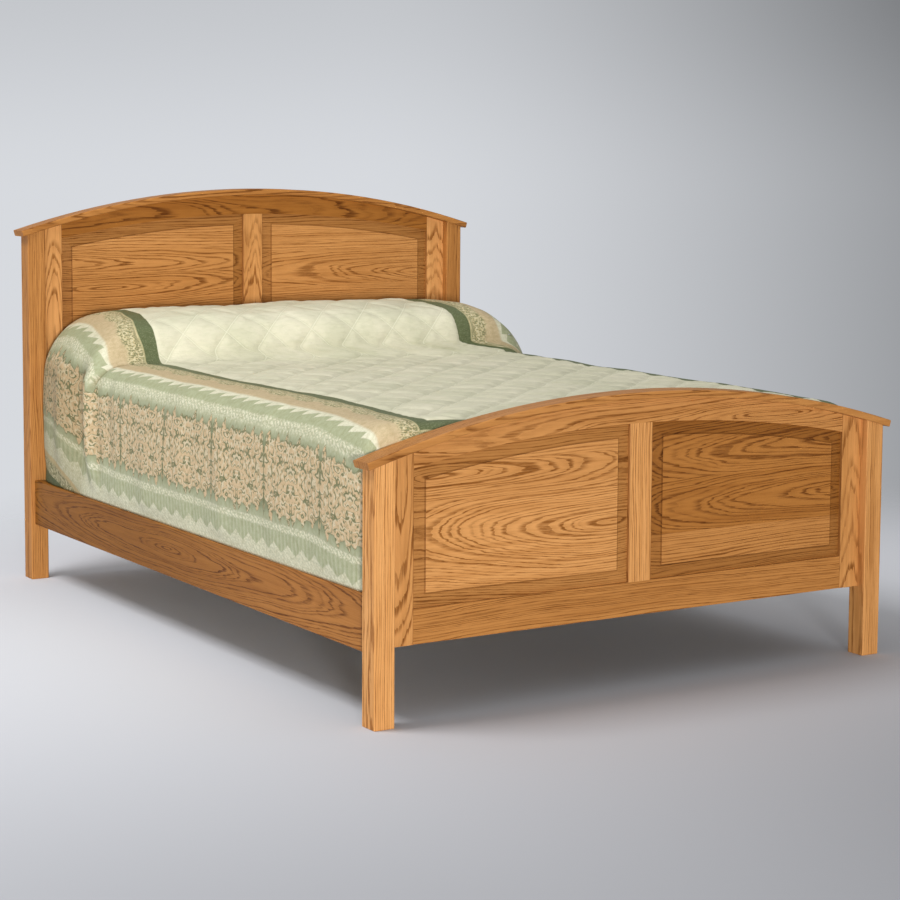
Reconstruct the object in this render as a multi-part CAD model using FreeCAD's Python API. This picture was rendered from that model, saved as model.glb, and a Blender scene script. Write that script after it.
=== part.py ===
import FreeCAD, Part
import math
import os

# Panel bed, queen size, in millimetres.
# X runs across the bed, Y along it with the footboard at -Y and the headboard at +Y, and Z up.
# The origin is on the floor, under the middle of the bed.

# ---- mattress and what it stands on ---------------------------------------------------------
MATTRESS_WIDTH = 1524.0
MATTRESS_LENGTH = 2032.0
MATTRESS_HEIGHT = 239.0
MATTRESS_EDGE_RADIUS = 50.0
MATTRESS_SIDE_GAP = 6.0        # from the mattress to each side rail
MATTRESS_END_GAP = 32.0        # from the mattress to the posts at each end
BOX_SPRING_HEIGHT = 229.0
BOX_SPRING_EDGE_RADIUS = 22.0
SOFT_CLEARANCE = 0.3           # between a soft piece and what it lies on

# ---- posts ----------------------------------------------------------------------------------
POST_WIDTH = 57.0
POST_DEPTH = 60.0
POST_EDGE_RADIUS = 3.0
POST_FOOT_CHAMFER = 1.5

# ---- head- and footboard frames -------------------------------------------------------------
HEAD_CROWN = 1213.0            # top of the frame on the centre line, under the cap
FOOT_CROWN = 752.5
ARCH_RISE = 118.0              # from the posts' outer faces to the crown
BOARD_SETBACK = 27.0           # posts' front faces to the frame's front face
BOARD_THICKNESS = 22.0
BOARD_BOTTOM = 191.0
BOTTOM_RAIL_HEIGHT = 88.0
TOP_RAIL_CROWN_HEIGHT = 64.0   # on the centre line
TOP_RAIL_LOWER_RISE = 94.5     # of its lower edge, over the bed's width
STILE_WIDTH = 67.0
MULLION_WIDTH = 72.0
MULLION_EDGE_RADIUS = 2.5
FRAME_EDGE_RADIUS = 2.0        # on the bottom rails' lower edges

# ---- joints in the boards -------------------------------------------------------------------
TENON_THICKNESS = 8.0
TENON_LENGTH = 30.0
TENON_SHOULDER = 9.0           # above and below each rail tenon
MULLION_TENON_LENGTH = 24.0
MULLION_TENON_SHOULDER = 12.0
STILE_TONGUE_DEPTH = 9.0       # into the post
STILE_TONGUE_STOP = 26.0       # kept back from the stile's top
JOINT_CLEARANCE = 0.1          # on each cheek
JOINT_END_SPACE = 1.0          # glue room past the end of a tenon, tongue or dowel

# ---- raised panels --------------------------------------------------------------------------
GROOVE_WIDTH = 6.4
GROOVE_DEPTH = 10.0
PANEL_TONGUE_THICKNESS = 6.0
PANEL_TONGUE_DEPTH = 8.0
PANEL_FIELD_RECESS = 2.0       # field behind the frame's front face
PANEL_FIELD_STEP = 1.4         # field above the bevel's inner edge
PANEL_BEVEL_WIDTH = 36.0
PANEL_BACK_THICKNESS = 3.0     # behind the tongue
PANEL_BACK_MARGIN = 1.0        # from the opening's edges

# ---- caps -----------------------------------------------------------------------------------
CAP_THICKNESS = 19.0
CAP_END_OVERHANG = 17.0
CAP_FACE_OVERHANG = 6.0
CAP_TOP_RADIUS = 5.0
CAP_LOWER_RADIUS = 3.0
CAP_GLUE_LINE = 0.1
CAP_DOWEL_RADIUS = 4.0
CAP_DOWEL_IN_CAP = 12.0
CAP_DOWEL_IN_FRAME = 22.0
CAP_DOWEL_SPACING = 300.0      # along the top rail

# ---- side rails and their hooks -------------------------------------------------------------
SIDE_RAIL_HEIGHT = 142.0
SIDE_RAIL_BOTTOM = 176.0
SIDE_RAIL_THICKNESS = 22.0
SIDE_RAIL_INSET = 13.0         # from the posts' outer faces
SIDE_RAIL_EDGE_RADIUS = 3.0
PLATE_WIDTH = 16.0
PLATE_HEIGHT = 127.0
PLATE_THICKNESS = 3.0
PLATE_CLEARANCE = 0.2          # around a plate in its recess
HOOK_THICKNESS = 4.0
HOOK_PITCH = 56.0              # between the two hooks of a plate
HOOK_NECK_HEIGHT = 16.0
HOOK_DROP = 10.0               # of the lip behind the catch plate
HOOK_LIP_DEPTH = 6.0
HOOK_PLAY = 0.4                # between the lip and the back of the catch plate
SLOT_SIDE_PLAY = 0.3
SLOT_EXTRA_HEIGHT = 2.0        # over what the hook needs to go in
POCKET_EXTRA = 3.0             # of the post's pocket around the hook

# ---- slats, ledgers and the centre support --------------------------------------------------
LEDGER_HEIGHT = 24.0
LEDGER_WIDTH = 22.0
LEDGER_END_GAP = 20.0          # to the posts
LEDGER_SCREWS = 6
SLAT_COUNT = 7
SLAT_WIDTH = 89.0
SLAT_THICKNESS = 19.0
SLAT_PITCH = 300.0
SLAT_END_PLAY = 2.0
SLAT_EDGE_RADIUS = 2.0
BEAM_WIDTH = 70.0
BEAM_THICKNESS = 19.0
BEAM_OVERRUN = 55.0            # past the outer slats' middles
LEG_WIDTH = 44.0
LEG_EDGE_RADIUS = 3.0
LEG_FROM_CENTRE = 200.0        # along the bed
LEG_FLOOR_GAP = 22.0
LEG_SCREW_SPACING = 22.0

# ---- levelling glides under the centre legs -------------------------------------------------
GLIDE_STUD_RADIUS = 4.0
GLIDE_STUD_LENGTH = 48.0
GLIDE_STUD_CLEARANCE = 0.1
GLIDE_STUD_IN_PAD = 5.0
GLIDE_PAD_RADIUS = 18.0
GLIDE_PAD_HEIGHT = 10.0
GLIDE_PAD_EDGE_RADIUS = 2.5
GLIDE_NECK_RADIUS = 9.0
GLIDE_NECK_HEIGHT = 3.5
INSERT_RADIUS = 6.5
INSERT_LENGTH = 15.0
INSERT_FLANGE_RADIUS = 12.0
INSERT_FLANGE_THICKNESS = 1.5
GLIDE_HOLE_EXTRA = 14.0        # depth past the stud's end

# ---- screws ---------------------------------------------------------------------------------
SCREW_RADIUS = 2.0
SCREW_HEAD_RADIUS = 3.9
SCREW_HEAD_HEIGHT = 2.4
SCREW_CLEARANCE = 0.1
SCREW_HOLE_EXTRA = 1.0         # depth past the screw's point
PLATE_SCREW_LENGTH = 26.0
PLATE_SCREW_MARGIN = 6.0       # from the plate's ends to the outer screws
LEDGER_SCREW_LENGTH = 38.0
SLAT_SCREW_LENGTH = 36.0
BEAM_SCREW_LENGTH = 32.0
LEG_SCREW_LENGTH = 50.0

# ---- coverlet and pillows -------------------------------------------------------------------
COVERLET_THICKNESS = 7.0
COVERLET_HEM_GAP = 0.4         # hem over the side rails' top edges
COVERLET_HEM_INSET = 5.0       # hem's outer face from the side rail's outer face
COVERLET_BULGE = 9.0           # of the hanging sides past their hems
COVERLET_POST_GAP = 8.0        # to the posts at both ends, clear of the footboard's cap
COVERLET_LOFT = 25.0           # middle of the coverlet's top over the mattress
COVERLET_NEAR_LIFT = 14.0      # the -X shoulder is plumped higher than the middle
COVERLET_FAR_DROP = 16.0       # the +X shoulder lies lower
FOOT_DROP = 46.0               # of the coverlet's top where it turns down at the foot
FOOT_DRAW_IN = 14.0            # of its sides there
SHOULDER_WIDTH = 88.0          # from the side to where the top begins
SHOULDER_DEPTH = 66.0
PILLOW_LENGTH = 738.0
PILLOW_DEPTH = 400.0
PILLOW_HEIGHT = 156.0
PILLOW_SPLIT = 14.0            # between the two pillows
PILLOW_END_HEIGHT = 60.0       # drawn-in ends
PILLOW_HEAD_GAP = 30.0         # behind the pillows, to the posts' faces
ROLL_COVER = 32.0              # from a pillow's top to the outside of the coverlet
ROLL_NEAR_DROP = 8.0           # from the roll's middle to its -X shoulder
ROLL_FAR_DROP = 24.0           # and to its +X shoulder
ROLL_SHOULDER_WIDTH = 205.0
ROLL_SHOULDER_DEPTH = 190.0
ROLL_FOOT = 20.0               # from the pillow's front to the crease in the coverlet

# ---- worked out from the above --------------------------------------------------------------
RAIL_INNER_X = MATTRESS_WIDTH / 2 + MATTRESS_SIDE_GAP
RAIL_OUTER_X = RAIL_INNER_X + SIDE_RAIL_THICKNESS
RAIL_MIDDLE_X = RAIL_INNER_X + SIDE_RAIL_THICKNESS / 2
POST_OUTER_X = RAIL_OUTER_X + SIDE_RAIL_INSET
POST_INNER_X = POST_OUTER_X - POST_WIDTH
STILE_INNER_X = POST_INNER_X - STILE_WIDTH
POST_FACE_Y = MATTRESS_LENGTH / 2 + MATTRESS_END_GAP
RAIL_TOP = SIDE_RAIL_BOTTOM + SIDE_RAIL_HEIGHT
PLATE_MIDDLE_Z = SIDE_RAIL_BOTTOM + SIDE_RAIL_HEIGHT / 2
SLAT_BOTTOM = SIDE_RAIL_BOTTOM + LEDGER_HEIGHT
SLAT_TOP = SLAT_BOTTOM + SLAT_THICKNESS
LEG_TOP = SLAT_BOTTOM - BEAM_THICKNESS
BOX_SPRING_BOTTOM = SLAT_TOP + SOFT_CLEARANCE
MATTRESS_BOTTOM = BOX_SPRING_BOTTOM + BOX_SPRING_HEIGHT + SOFT_CLEARANCE
MATTRESS_TOP = MATTRESS_BOTTOM + MATTRESS_HEIGHT
HOOK_WAY_IN = HOOK_NECK_HEIGHT + HOOK_DROP + SLOT_EXTRA_HEIGHT

BOARDS = (("headboard", HEAD_CROWN, POST_FACE_Y), ("footboard", FOOT_CROWN, -POST_FACE_Y - POST_DEPTH))
SIDES = (("left", -1), ("right", 1))
ENDS = (("front", -1), ("rear", 1))

V = FreeCAD.Vector
X_AXIS = V(1, 0, 0)
Y_AXIS = V(0, 1, 0)
Z_AXIS = V(0, 0, 1)


# ---- shapes that repeat ---------------------------------------------------------------------
def box(x0, x1, y0, y1, z0, z1):
    """Block between two values on each axis, given in either order."""
    low = V(min(x0, x1), min(y0, y1), min(z0, z1))
    return Part.makeBox(abs(x1 - x0), abs(y1 - y0), abs(z1 - z0), low)


def grown(x0, x1, y0, y1, z0, z1, by):
    """Block that is larger than another by the same margin on all six sides."""
    xs = sorted((x0, x1))
    ys = sorted((y0, y1))
    zs = sorted((z0, z1))
    return box(xs[0] - by, xs[1] + by, ys[0] - by, ys[1] + by, zs[0] - by, zs[1] + by)


def mirrored(shape):
    """The same shape on the other side of the bed."""
    return shape.mirror(V(0, 0, 0), X_AXIS)


def on_side(shape, side):
    """A shape drawn on the +X side, put on the side asked for."""
    return shape if side > 0 else mirrored(shape)


def edges_along(shape, axis):
    """Straight edges parallel to an axis."""
    found = []
    for edge in shape.Edges:
        if len(edge.Vertexes) == 2:
            run = edge.Vertexes[1].Point.sub(edge.Vertexes[0].Point)
            if run.Length > 0 and abs(abs(run.normalize().dot(axis)) - 1) < 1e-6:
                found.append(edge)
    return found


def eased_bar(x0, x1, y0, y1, z0, z1, axis, radius):
    """Block with its four edges along an axis rounded."""
    bar = box(x0, x1, y0, y1, z0, z1)
    return bar.makeFillet(radius, edges_along(bar, axis))


def padded_block(half_x, half_y, z0, z1, radius):
    """Upholstered block over the centre line, rounded all round."""
    block = box(-half_x, half_x, -half_y, half_y, z0, z1)
    return block.makeFillet(radius, block.Edges)


def screw(head, direction, length, clearance=0.0):
    """Countersunk wood screw with its head's face at a point, or the hole for it."""
    head_radius = SCREW_HEAD_RADIUS + clearance
    radius = SCREW_RADIUS + clearance
    depth = length + (SCREW_HOLE_EXTRA if clearance else 0.0)
    cone = Part.makeCone(head_radius, radius, SCREW_HEAD_HEIGHT, head, direction)
    shank = Part.makeCylinder(radius, depth, head, direction)
    return cone.fuse(shank).removeSplitter()


def screw_hole(head, direction, length):
    """What a screw takes out of the pieces that it goes through."""
    return screw(head, direction, length, SCREW_CLEARANCE)


def save(name, shapes):
    """One file for a node, which may be a group of separate solids."""
    solids = [solid for shape in shapes for solid in shape.Solids]
    shape = solids[0] if len(solids) == 1 else Part.makeCompound(solids)
    shape.exportStep(f"parts/{name}.step")


class Arch:
    """Arc in the XZ plane over the bed's centre line, with its crown at a height."""

    def __init__(self, crown, rise):
        self.radius = (POST_OUTER_X**2 + rise**2) / (2 * rise)
        self.centre_z = crown - self.radius

    def z(self, x, grow=0.0):
        return self.centre_z + math.sqrt((self.radius + grow) ** 2 - x**2)

    def disc(self, y0, y1, grow=0.0):
        """Round slab with this arc as its upper edge."""
        return Part.makeCylinder(self.radius + grow, y1 - y0, V(0, y0, self.centre_z), Y_AXIS)


def opening_face(x0, x1, z0, arch, grow, y):
    """Panel opening under an arch, grown by a margin on all four sides, as a face at y."""
    left = x0 - grow
    right = x1 + grow
    low_left = V(left, y, z0 - grow)
    low_right = V(right, y, z0 - grow)
    top_right = V(right, y, arch.z(right, grow))
    top_left = V(left, y, arch.z(left, grow))
    middle = (left + right) / 2
    top = Part.Arc(top_right, V(middle, y, arch.z(middle, grow)), top_left).toShape()
    outline = [
        Part.makeLine(low_left, low_right),
        Part.makeLine(low_right, top_right),
        top,
        Part.makeLine(top_left, low_left),
    ]
    return Part.Face(Part.Wire(outline))


def slab(face, thickness):
    """Face thickened towards +Y."""
    return face.extrude(V(0, thickness, 0))


# ---- head- and footboard --------------------------------------------------------------------
class Board:
    """One end of the bed. Its pieces are drawn in place, the paired ones on the +X side."""

    def __init__(self, crown, front_y):
        self.crown = crown
        self.front_y = front_y
        self.back_y = front_y + POST_DEPTH
        self.frame_y = front_y + BOARD_SETBACK
        self.frame_back_y = self.frame_y + BOARD_THICKNESS
        self.middle_y = self.frame_y + BOARD_THICKNESS / 2
        self.rail_top = BOARD_BOTTOM + BOTTOM_RAIL_HEIGHT
        self.upper = Arch(crown, ARCH_RISE)
        self.lower = Arch(crown - TOP_RAIL_CROWN_HEIGHT, TOP_RAIL_LOWER_RISE)
        self.groove = self.panel_slab(GROOVE_DEPTH, GROOVE_WIDTH)

    def panel_slab(self, grow, thickness):
        """Slab of the +X panel opening's shape, centred in the frame's thickness."""
        face = opening_face(
            MULLION_WIDTH / 2, STILE_INNER_X, self.rail_top, self.lower, grow, self.middle_y - thickness / 2
        )
        return slab(face, thickness)

    def grooves(self):
        return [self.groove, mirrored(self.groove)]

    def under_cap(self, shape):
        """Cuts a shape's top to the arch."""
        return shape.common(self.upper.disc(self.front_y - 1, self.back_y + 1))

    def stile_tongue(self, clearance, end_space):
        """Long tongue that holds a stile in its post, or the groove for it."""
        half = TENON_THICKNESS / 2 + clearance
        top = self.upper.z(POST_INNER_X) - STILE_TONGUE_STOP + end_space
        return box(
            POST_INNER_X - JOINT_END_SPACE,
            POST_INNER_X + STILE_TONGUE_DEPTH + end_space,
            self.middle_y - half,
            self.middle_y + half,
            BOARD_BOTTOM + STILE_TONGUE_STOP - end_space,
            top,
        )

    def rail_tenons(self, clearance, end_space):
        """Tenons of the bottom and top rail in the +X stile, or the mortises for them."""
        half = TENON_THICKNESS / 2 + clearance
        end_x = STILE_INNER_X + TENON_LENGTH + end_space
        root_x = STILE_INNER_X - JOINT_END_SPACE
        tenon_top = self.upper.z(STILE_INNER_X + TENON_LENGTH) - TENON_SHOULDER
        heights = (
            (BOARD_BOTTOM + TENON_SHOULDER, self.rail_top - TENON_SHOULDER),
            (self.lower.z(STILE_INNER_X) + TENON_SHOULDER, tenon_top),
        )
        return [
            box(root_x, end_x, self.middle_y - half, self.middle_y + half, low - clearance, high + clearance)
            for low, high in heights
        ]

    def mullion_tenons(self, clearance, end_space):
        """Tenons of the mullion in the bottom and top rail, or the mortises for them."""
        half = TENON_THICKNESS / 2 + clearance
        half_width = MULLION_WIDTH / 2 - MULLION_TENON_SHOULDER + clearance
        length = MULLION_TENON_LENGTH + end_space
        crown = self.lower.z(0)
        heights = (
            (self.rail_top - length, self.rail_top + JOINT_END_SPACE),
            (self.lower.z(MULLION_WIDTH / 2) - JOINT_END_SPACE, crown + length),
        )
        return [
            box(-half_width, half_width, self.middle_y - half, self.middle_y + half, low, high)
            for low, high in heights
        ]

    def dowel_places(self):
        """Where the cap is dowelled: the posts' middles and evenly along the top rail."""
        reach = STILE_INNER_X - CAP_DOWEL_IN_FRAME
        steps = int(reach / CAP_DOWEL_SPACING)
        inner = [CAP_DOWEL_SPACING * (step + 0.5) for step in range(steps)]
        places = inner + [POST_OUTER_X - POST_WIDTH / 2]
        return [side * x for side in (-1, 1) for x in places]

    def dowels(self, clearance, end_space):
        """Dowels between the frame and its cap, or the holes for them."""
        length = CAP_DOWEL_IN_FRAME + CAP_DOWEL_IN_CAP + 2 * end_space
        radius = CAP_DOWEL_RADIUS + clearance
        found = []
        for x in self.dowel_places():
            foot = V(x, self.middle_y, self.upper.z(x) - CAP_DOWEL_IN_FRAME - end_space)
            found.append(Part.makeCylinder(radius, length, foot, Z_AXIS))
        return found

    def post(self, catch_tools):
        """Square leg to the cap, with its edges eased."""
        post = box(POST_INNER_X, POST_OUTER_X, self.front_y, self.back_y, 0, self.crown)
        post = post.makeFillet(POST_EDGE_RADIUS, edges_along(post, Z_AXIS))
        foot_edges = [edge for edge in post.Edges if edge.BoundBox.ZMax < 1e-6]
        post = self.under_cap(post.makeChamfer(POST_FOOT_CHAMFER, foot_edges))
        tools = [self.stile_tongue(JOINT_CLEARANCE, JOINT_END_SPACE)]
        tools += self.dowels(JOINT_CLEARANCE, JOINT_END_SPACE)
        return post.cut(tools + catch_tools)

    def stile(self):
        stile = box(
            STILE_INNER_X, POST_INNER_X, self.frame_y, self.frame_back_y, BOARD_BOTTOM, self.crown
        )
        stile = self.under_cap(stile).fuse(self.stile_tongue(0, 0)).removeSplitter()
        return stile.cut(self.rail_tenons(JOINT_CLEARANCE, JOINT_END_SPACE) + self.grooves())

    def mullion(self):
        half = MULLION_WIDTH / 2
        post = eased_bar(
            -half,
            half,
            self.frame_y,
            self.frame_back_y,
            self.rail_top,
            self.crown,
            Z_AXIS,
            MULLION_EDGE_RADIUS,
        )
        post = post.common(self.lower.disc(self.front_y, self.back_y))
        post = post.fuse(self.mullion_tenons(0, 0)).removeSplitter()
        return post.cut(self.grooves())

    def top_rail(self):
        rail = box(
            -STILE_INNER_X, STILE_INNER_X, self.frame_y, self.frame_back_y, self.rail_top, self.crown
        )
        rail = self.under_cap(rail).cut(self.lower.disc(self.front_y, self.back_y))
        tenon = self.rail_tenons(0, 0)[1]
        rail = rail.fuse([tenon, mirrored(tenon)]).removeSplitter()
        tools = self.grooves() + self.mullion_tenons(JOINT_CLEARANCE, JOINT_END_SPACE)
        return rail.cut(tools + self.dowels(JOINT_CLEARANCE, JOINT_END_SPACE))

    def bottom_rail(self):
        rail = box(
            -STILE_INNER_X, STILE_INNER_X, self.frame_y, self.frame_back_y, BOARD_BOTTOM, self.rail_top
        )
        low_edges = [edge for edge in edges_along(rail, X_AXIS) if edge.BoundBox.ZMax < BOARD_BOTTOM + 1]
        rail = rail.makeFillet(FRAME_EDGE_RADIUS, low_edges)
        tenon = self.rail_tenons(0, 0)[0]
        rail = rail.fuse([tenon, mirrored(tenon)]).removeSplitter()
        return rail.cut(self.grooves() + self.mullion_tenons(JOINT_CLEARANCE, JOINT_END_SPACE))

    def panel(self):
        """Raised panel: tongue in the grooves, sloping bevel, and a field that stands up from it."""
        tongue_y = self.middle_y - PANEL_TONGUE_THICKNESS / 2
        field_y = self.frame_y + PANEL_FIELD_RECESS
        step_y = field_y + PANEL_FIELD_STEP
        opening = (MULLION_WIDTH / 2, STILE_INNER_X, self.rail_top, self.lower)
        foot = opening_face(*opening, 0, tongue_y)
        shelf = opening_face(*opening, -PANEL_BEVEL_WIDTH, step_y)
        bevel = Part.makeLoft([foot.OuterWire, shelf.OuterWire], True, True)
        field = slab(opening_face(*opening, -PANEL_BEVEL_WIDTH, field_y), PANEL_FIELD_STEP)
        tongue = self.panel_slab(PANEL_TONGUE_DEPTH, PANEL_TONGUE_THICKNESS)
        back_y = tongue_y + PANEL_TONGUE_THICKNESS
        back = slab(opening_face(*opening, -PANEL_BACK_MARGIN, back_y), PANEL_BACK_THICKNESS)
        return tongue.fuse([bevel, field, back]).removeSplitter()

    def cap(self):
        """Curved board along the arch, its ends cut square to the curve."""
        inside = self.upper.radius + CAP_GLUE_LINE
        outside = inside + CAP_THICKNESS
        half_angle = math.asin((POST_OUTER_X + CAP_END_OVERHANG) / inside)
        y = self.front_y - CAP_FACE_OVERHANG
        width = POST_DEPTH + 2 * CAP_FACE_OVERHANG

        def point(radius, angle):
            return V(radius * math.sin(angle), y, self.upper.centre_z + radius * math.cos(angle))

        low = Part.Arc(point(inside, -half_angle), point(inside, 0), point(inside, half_angle))
        high = Part.Arc(point(outside, half_angle), point(outside, 0), point(outside, -half_angle))
        right = Part.makeLine(point(inside, half_angle), point(outside, half_angle))
        left = Part.makeLine(point(outside, -half_angle), point(inside, -half_angle))
        outline = Part.Wire([low.toShape(), right, high.toShape(), left])
        cap = slab(Part.Face(outline), width)
        long_edges = [edge for edge in cap.Edges if isinstance(edge.Curve, Part.Circle)]
        top = [edge for edge in long_edges if abs(edge.Curve.Radius - outside) < 1e-3]
        cap = cap.makeFillet(CAP_TOP_RADIUS, top)
        long_edges = [edge for edge in cap.Edges if isinstance(edge.Curve, Part.Circle)]
        lower = [edge for edge in long_edges if abs(edge.Curve.Radius - inside) < 1e-3]
        cap = cap.makeFillet(CAP_LOWER_RADIUS, lower)
        return cap.cut(self.dowels(JOINT_CLEARANCE, JOINT_END_SPACE))


# ---- hooks between side rails and posts -----------------------------------------------------
def hook_middles():
    """Heights of the two hooks' necks, from which slot, pocket and hook are drawn."""
    return (PLATE_MIDDLE_Z - HOOK_PITCH / 2, PLATE_MIDDLE_Z + HOOK_PITCH / 2)


def plate_screw_heights():
    """Heights of a plate's three screws, clear of its slots."""
    between = (hook_middles()[0] + HOOK_WAY_IN + hook_middles()[1]) / 2
    low = PLATE_MIDDLE_Z - PLATE_HEIGHT / 2 + PLATE_SCREW_MARGIN
    high = PLATE_MIDDLE_Z + PLATE_HEIGHT / 2 - PLATE_SCREW_MARGIN
    return (low, between, high)


def plate(end, into, clearance=0.0):
    """Flat plate at the rail's end, on the post's side (into=1) or the rail's side (into=-1)."""
    face = end * POST_FACE_Y
    back = face + end * into * (PLATE_THICKNESS + clearance)
    half_width = PLATE_WIDTH / 2 + clearance
    half_height = PLATE_HEIGHT / 2 + clearance
    return box(
        RAIL_MIDDLE_X - half_width,
        RAIL_MIDDLE_X + half_width,
        face,
        back,
        PLATE_MIDDLE_Z - half_height,
        PLATE_MIDDLE_Z + half_height,
    )


def plate_screws(end, into, make):
    """Three screws, or their holes, that hold a plate to the post or the rail."""
    direction = V(0, end * into, 0)
    face = end * POST_FACE_Y
    return [make(V(RAIL_MIDDLE_X, face, z), direction, PLATE_SCREW_LENGTH) for z in plate_screw_heights()]


def catch_plate(end):
    """Plate in the post with a slot for each hook."""
    slots = []
    for z in hook_middles():
        half = HOOK_THICKNESS / 2 + SLOT_SIDE_PLAY
        face = end * POST_FACE_Y
        slots.append(
            box(
                RAIL_MIDDLE_X - half,
                RAIL_MIDDLE_X + half,
                face - end,
                face + end * (PLATE_THICKNESS + 1),
                z,
                z + HOOK_WAY_IN,
            )
        )
    return plate(end, 1).cut(slots + plate_screws(end, 1, screw_hole))


def hook_plate(end):
    """Plate on the rail's end with two hooks that drop behind the catch plate."""
    face = end * POST_FACE_Y
    half = HOOK_THICKNESS / 2
    lip = face + end * (PLATE_THICKNESS + HOOK_PLAY)
    body = plate(end, -1).cut(plate_screws(end, -1, screw_hole))
    hooks = []
    for z in hook_middles():
        top = z + HOOK_NECK_HEIGHT
        neck = box(RAIL_MIDDLE_X - half, RAIL_MIDDLE_X + half, face, lip, z, top)
        catch = box(
            RAIL_MIDDLE_X - half, RAIL_MIDDLE_X + half, lip, lip + end * HOOK_LIP_DEPTH, z - HOOK_DROP, top
        )
        hooks += [neck, catch]
    return body.fuse(hooks).removeSplitter()


def post_tools(end):
    """What the catch plate, its screws and the hooks need cut out of a post."""
    face = end * POST_FACE_Y
    deep = face + end * (PLATE_THICKNESS + HOOK_PLAY + HOOK_LIP_DEPTH)
    pockets = [
        grown(
            RAIL_MIDDLE_X - HOOK_THICKNESS / 2,
            RAIL_MIDDLE_X + HOOK_THICKNESS / 2,
            face,
            deep,
            z - HOOK_DROP,
            z + HOOK_WAY_IN,
            POCKET_EXTRA,
        )
        for z in hook_middles()
    ]
    return [plate(end, 1, PLATE_CLEARANCE)] + pockets + plate_screws(end, 1, screw_hole)


# ---- side rails and ledgers -----------------------------------------------------------------
def ledger_screw_places():
    """Where each ledger is screwed to its rail, along the bed."""
    reach = POST_FACE_Y - LEDGER_END_GAP - SLAT_WIDTH / 2
    return [reach * (2 * number / (LEDGER_SCREWS - 1) - 1) for number in range(LEDGER_SCREWS)]


def ledger_screws(make):
    """Level screws through the +X ledger into its rail, or their holes."""
    x = RAIL_INNER_X - LEDGER_WIDTH
    z = SIDE_RAIL_BOTTOM + LEDGER_HEIGHT / 2
    return [make(V(x, y, z), X_AXIS, LEDGER_SCREW_LENGTH) for y in ledger_screw_places()]


def slat_places():
    """The slats' middles, along the bed."""
    return [SLAT_PITCH * (number - (SLAT_COUNT - 1) / 2) for number in range(SLAT_COUNT)]


def slat_screws(y, make):
    """Upright screws through both ends of a slat into the ledgers, or their holes."""
    x = RAIL_INNER_X - LEDGER_WIDTH / 2
    down = V(0, 0, -1)
    return [make(V(side * x, y, SLAT_TOP), down, SLAT_SCREW_LENGTH) for side in (-1, 1)]


def side_rail():
    """Deep board between the posts, drawn on the +X side."""
    rail = eased_bar(
        RAIL_INNER_X,
        RAIL_OUTER_X,
        -POST_FACE_Y,
        POST_FACE_Y,
        SIDE_RAIL_BOTTOM,
        RAIL_TOP,
        Y_AXIS,
        SIDE_RAIL_EDGE_RADIUS,
    )
    tools = ledger_screws(screw_hole)
    for end in (-1, 1):
        tools.append(plate(end, -1, PLATE_CLEARANCE))
        tools += plate_screws(end, -1, screw_hole)
    return rail.cut(tools)


def ledger():
    """Strip along the foot of a side rail that carries the slats, on the +X side."""
    reach = POST_FACE_Y - LEDGER_END_GAP
    strip = box(RAIL_INNER_X - LEDGER_WIDTH, RAIL_INNER_X, -reach, reach, SIDE_RAIL_BOTTOM, SLAT_BOTTOM)
    tools = ledger_screws(screw_hole)
    for y in slat_places():
        tools += slat_screws(y, screw_hole)
    return strip.cut(tools)


# ---- slats and centre support ---------------------------------------------------------------
def beam_screw(y, make):
    """Upright screw through the centre beam into a slat, or its hole."""
    return make(V(0, y, LEG_TOP), Z_AXIS, BEAM_SCREW_LENGTH)


def leg_screws(y, make):
    """Two upright screws through the beam into a centre leg, or their holes."""
    down = V(0, 0, -1)
    half = LEG_SCREW_SPACING / 2
    return [make(V(side * half, y, SLAT_BOTTOM), down, LEG_SCREW_LENGTH) for side in (-1, 1)]


def slat(y):
    half = RAIL_INNER_X - SLAT_END_PLAY
    board = eased_bar(
        -half,
        half,
        y - SLAT_WIDTH / 2,
        y + SLAT_WIDTH / 2,
        SLAT_BOTTOM,
        SLAT_TOP,
        X_AXIS,
        SLAT_EDGE_RADIUS,
    )
    return board.cut(slat_screws(y, screw_hole) + [beam_screw(y, screw_hole)])


def centre_beam():
    """Flat board under the slats that shares their load between the centre legs."""
    reach = slat_places()[-1] + BEAM_OVERRUN
    half = BEAM_WIDTH / 2
    beam = box(-half, half, -reach, reach, LEG_TOP, SLAT_BOTTOM)
    tools = [beam_screw(y, screw_hole) for y in slat_places()]
    for end in (-1, 1):
        tools += leg_screws(end * LEG_FROM_CENTRE, screw_hole)
    return beam.cut(tools)


def glide_insert(y, clearance=0.0):
    """Flanged insert in the leg's foot that the glide's stud runs in, or the hole for it."""
    radius = INSERT_RADIUS + clearance
    foot = V(0, y, LEG_FLOOR_GAP)
    sleeve = Part.makeCylinder(radius, INSERT_LENGTH + clearance, foot, Z_AXIS)
    if clearance:
        return sleeve
    flange_foot = V(0, y, LEG_FLOOR_GAP - INSERT_FLANGE_THICKNESS)
    flange = Part.makeCylinder(INSERT_FLANGE_RADIUS, INSERT_FLANGE_THICKNESS, flange_foot, Z_AXIS)
    height = INSERT_LENGTH + INSERT_FLANGE_THICKNESS
    bore = Part.makeCylinder(GLIDE_STUD_RADIUS + GLIDE_STUD_CLEARANCE, height, flange_foot, Z_AXIS)
    return sleeve.fuse(flange).removeSplitter().cut(bore)


def glide_stud(y):
    """Upright stud whose foot is held in the pad."""
    foot_z = GLIDE_PAD_HEIGHT - GLIDE_STUD_IN_PAD
    return Part.makeCylinder(GLIDE_STUD_RADIUS, GLIDE_STUD_LENGTH, V(0, y, foot_z), Z_AXIS)


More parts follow.
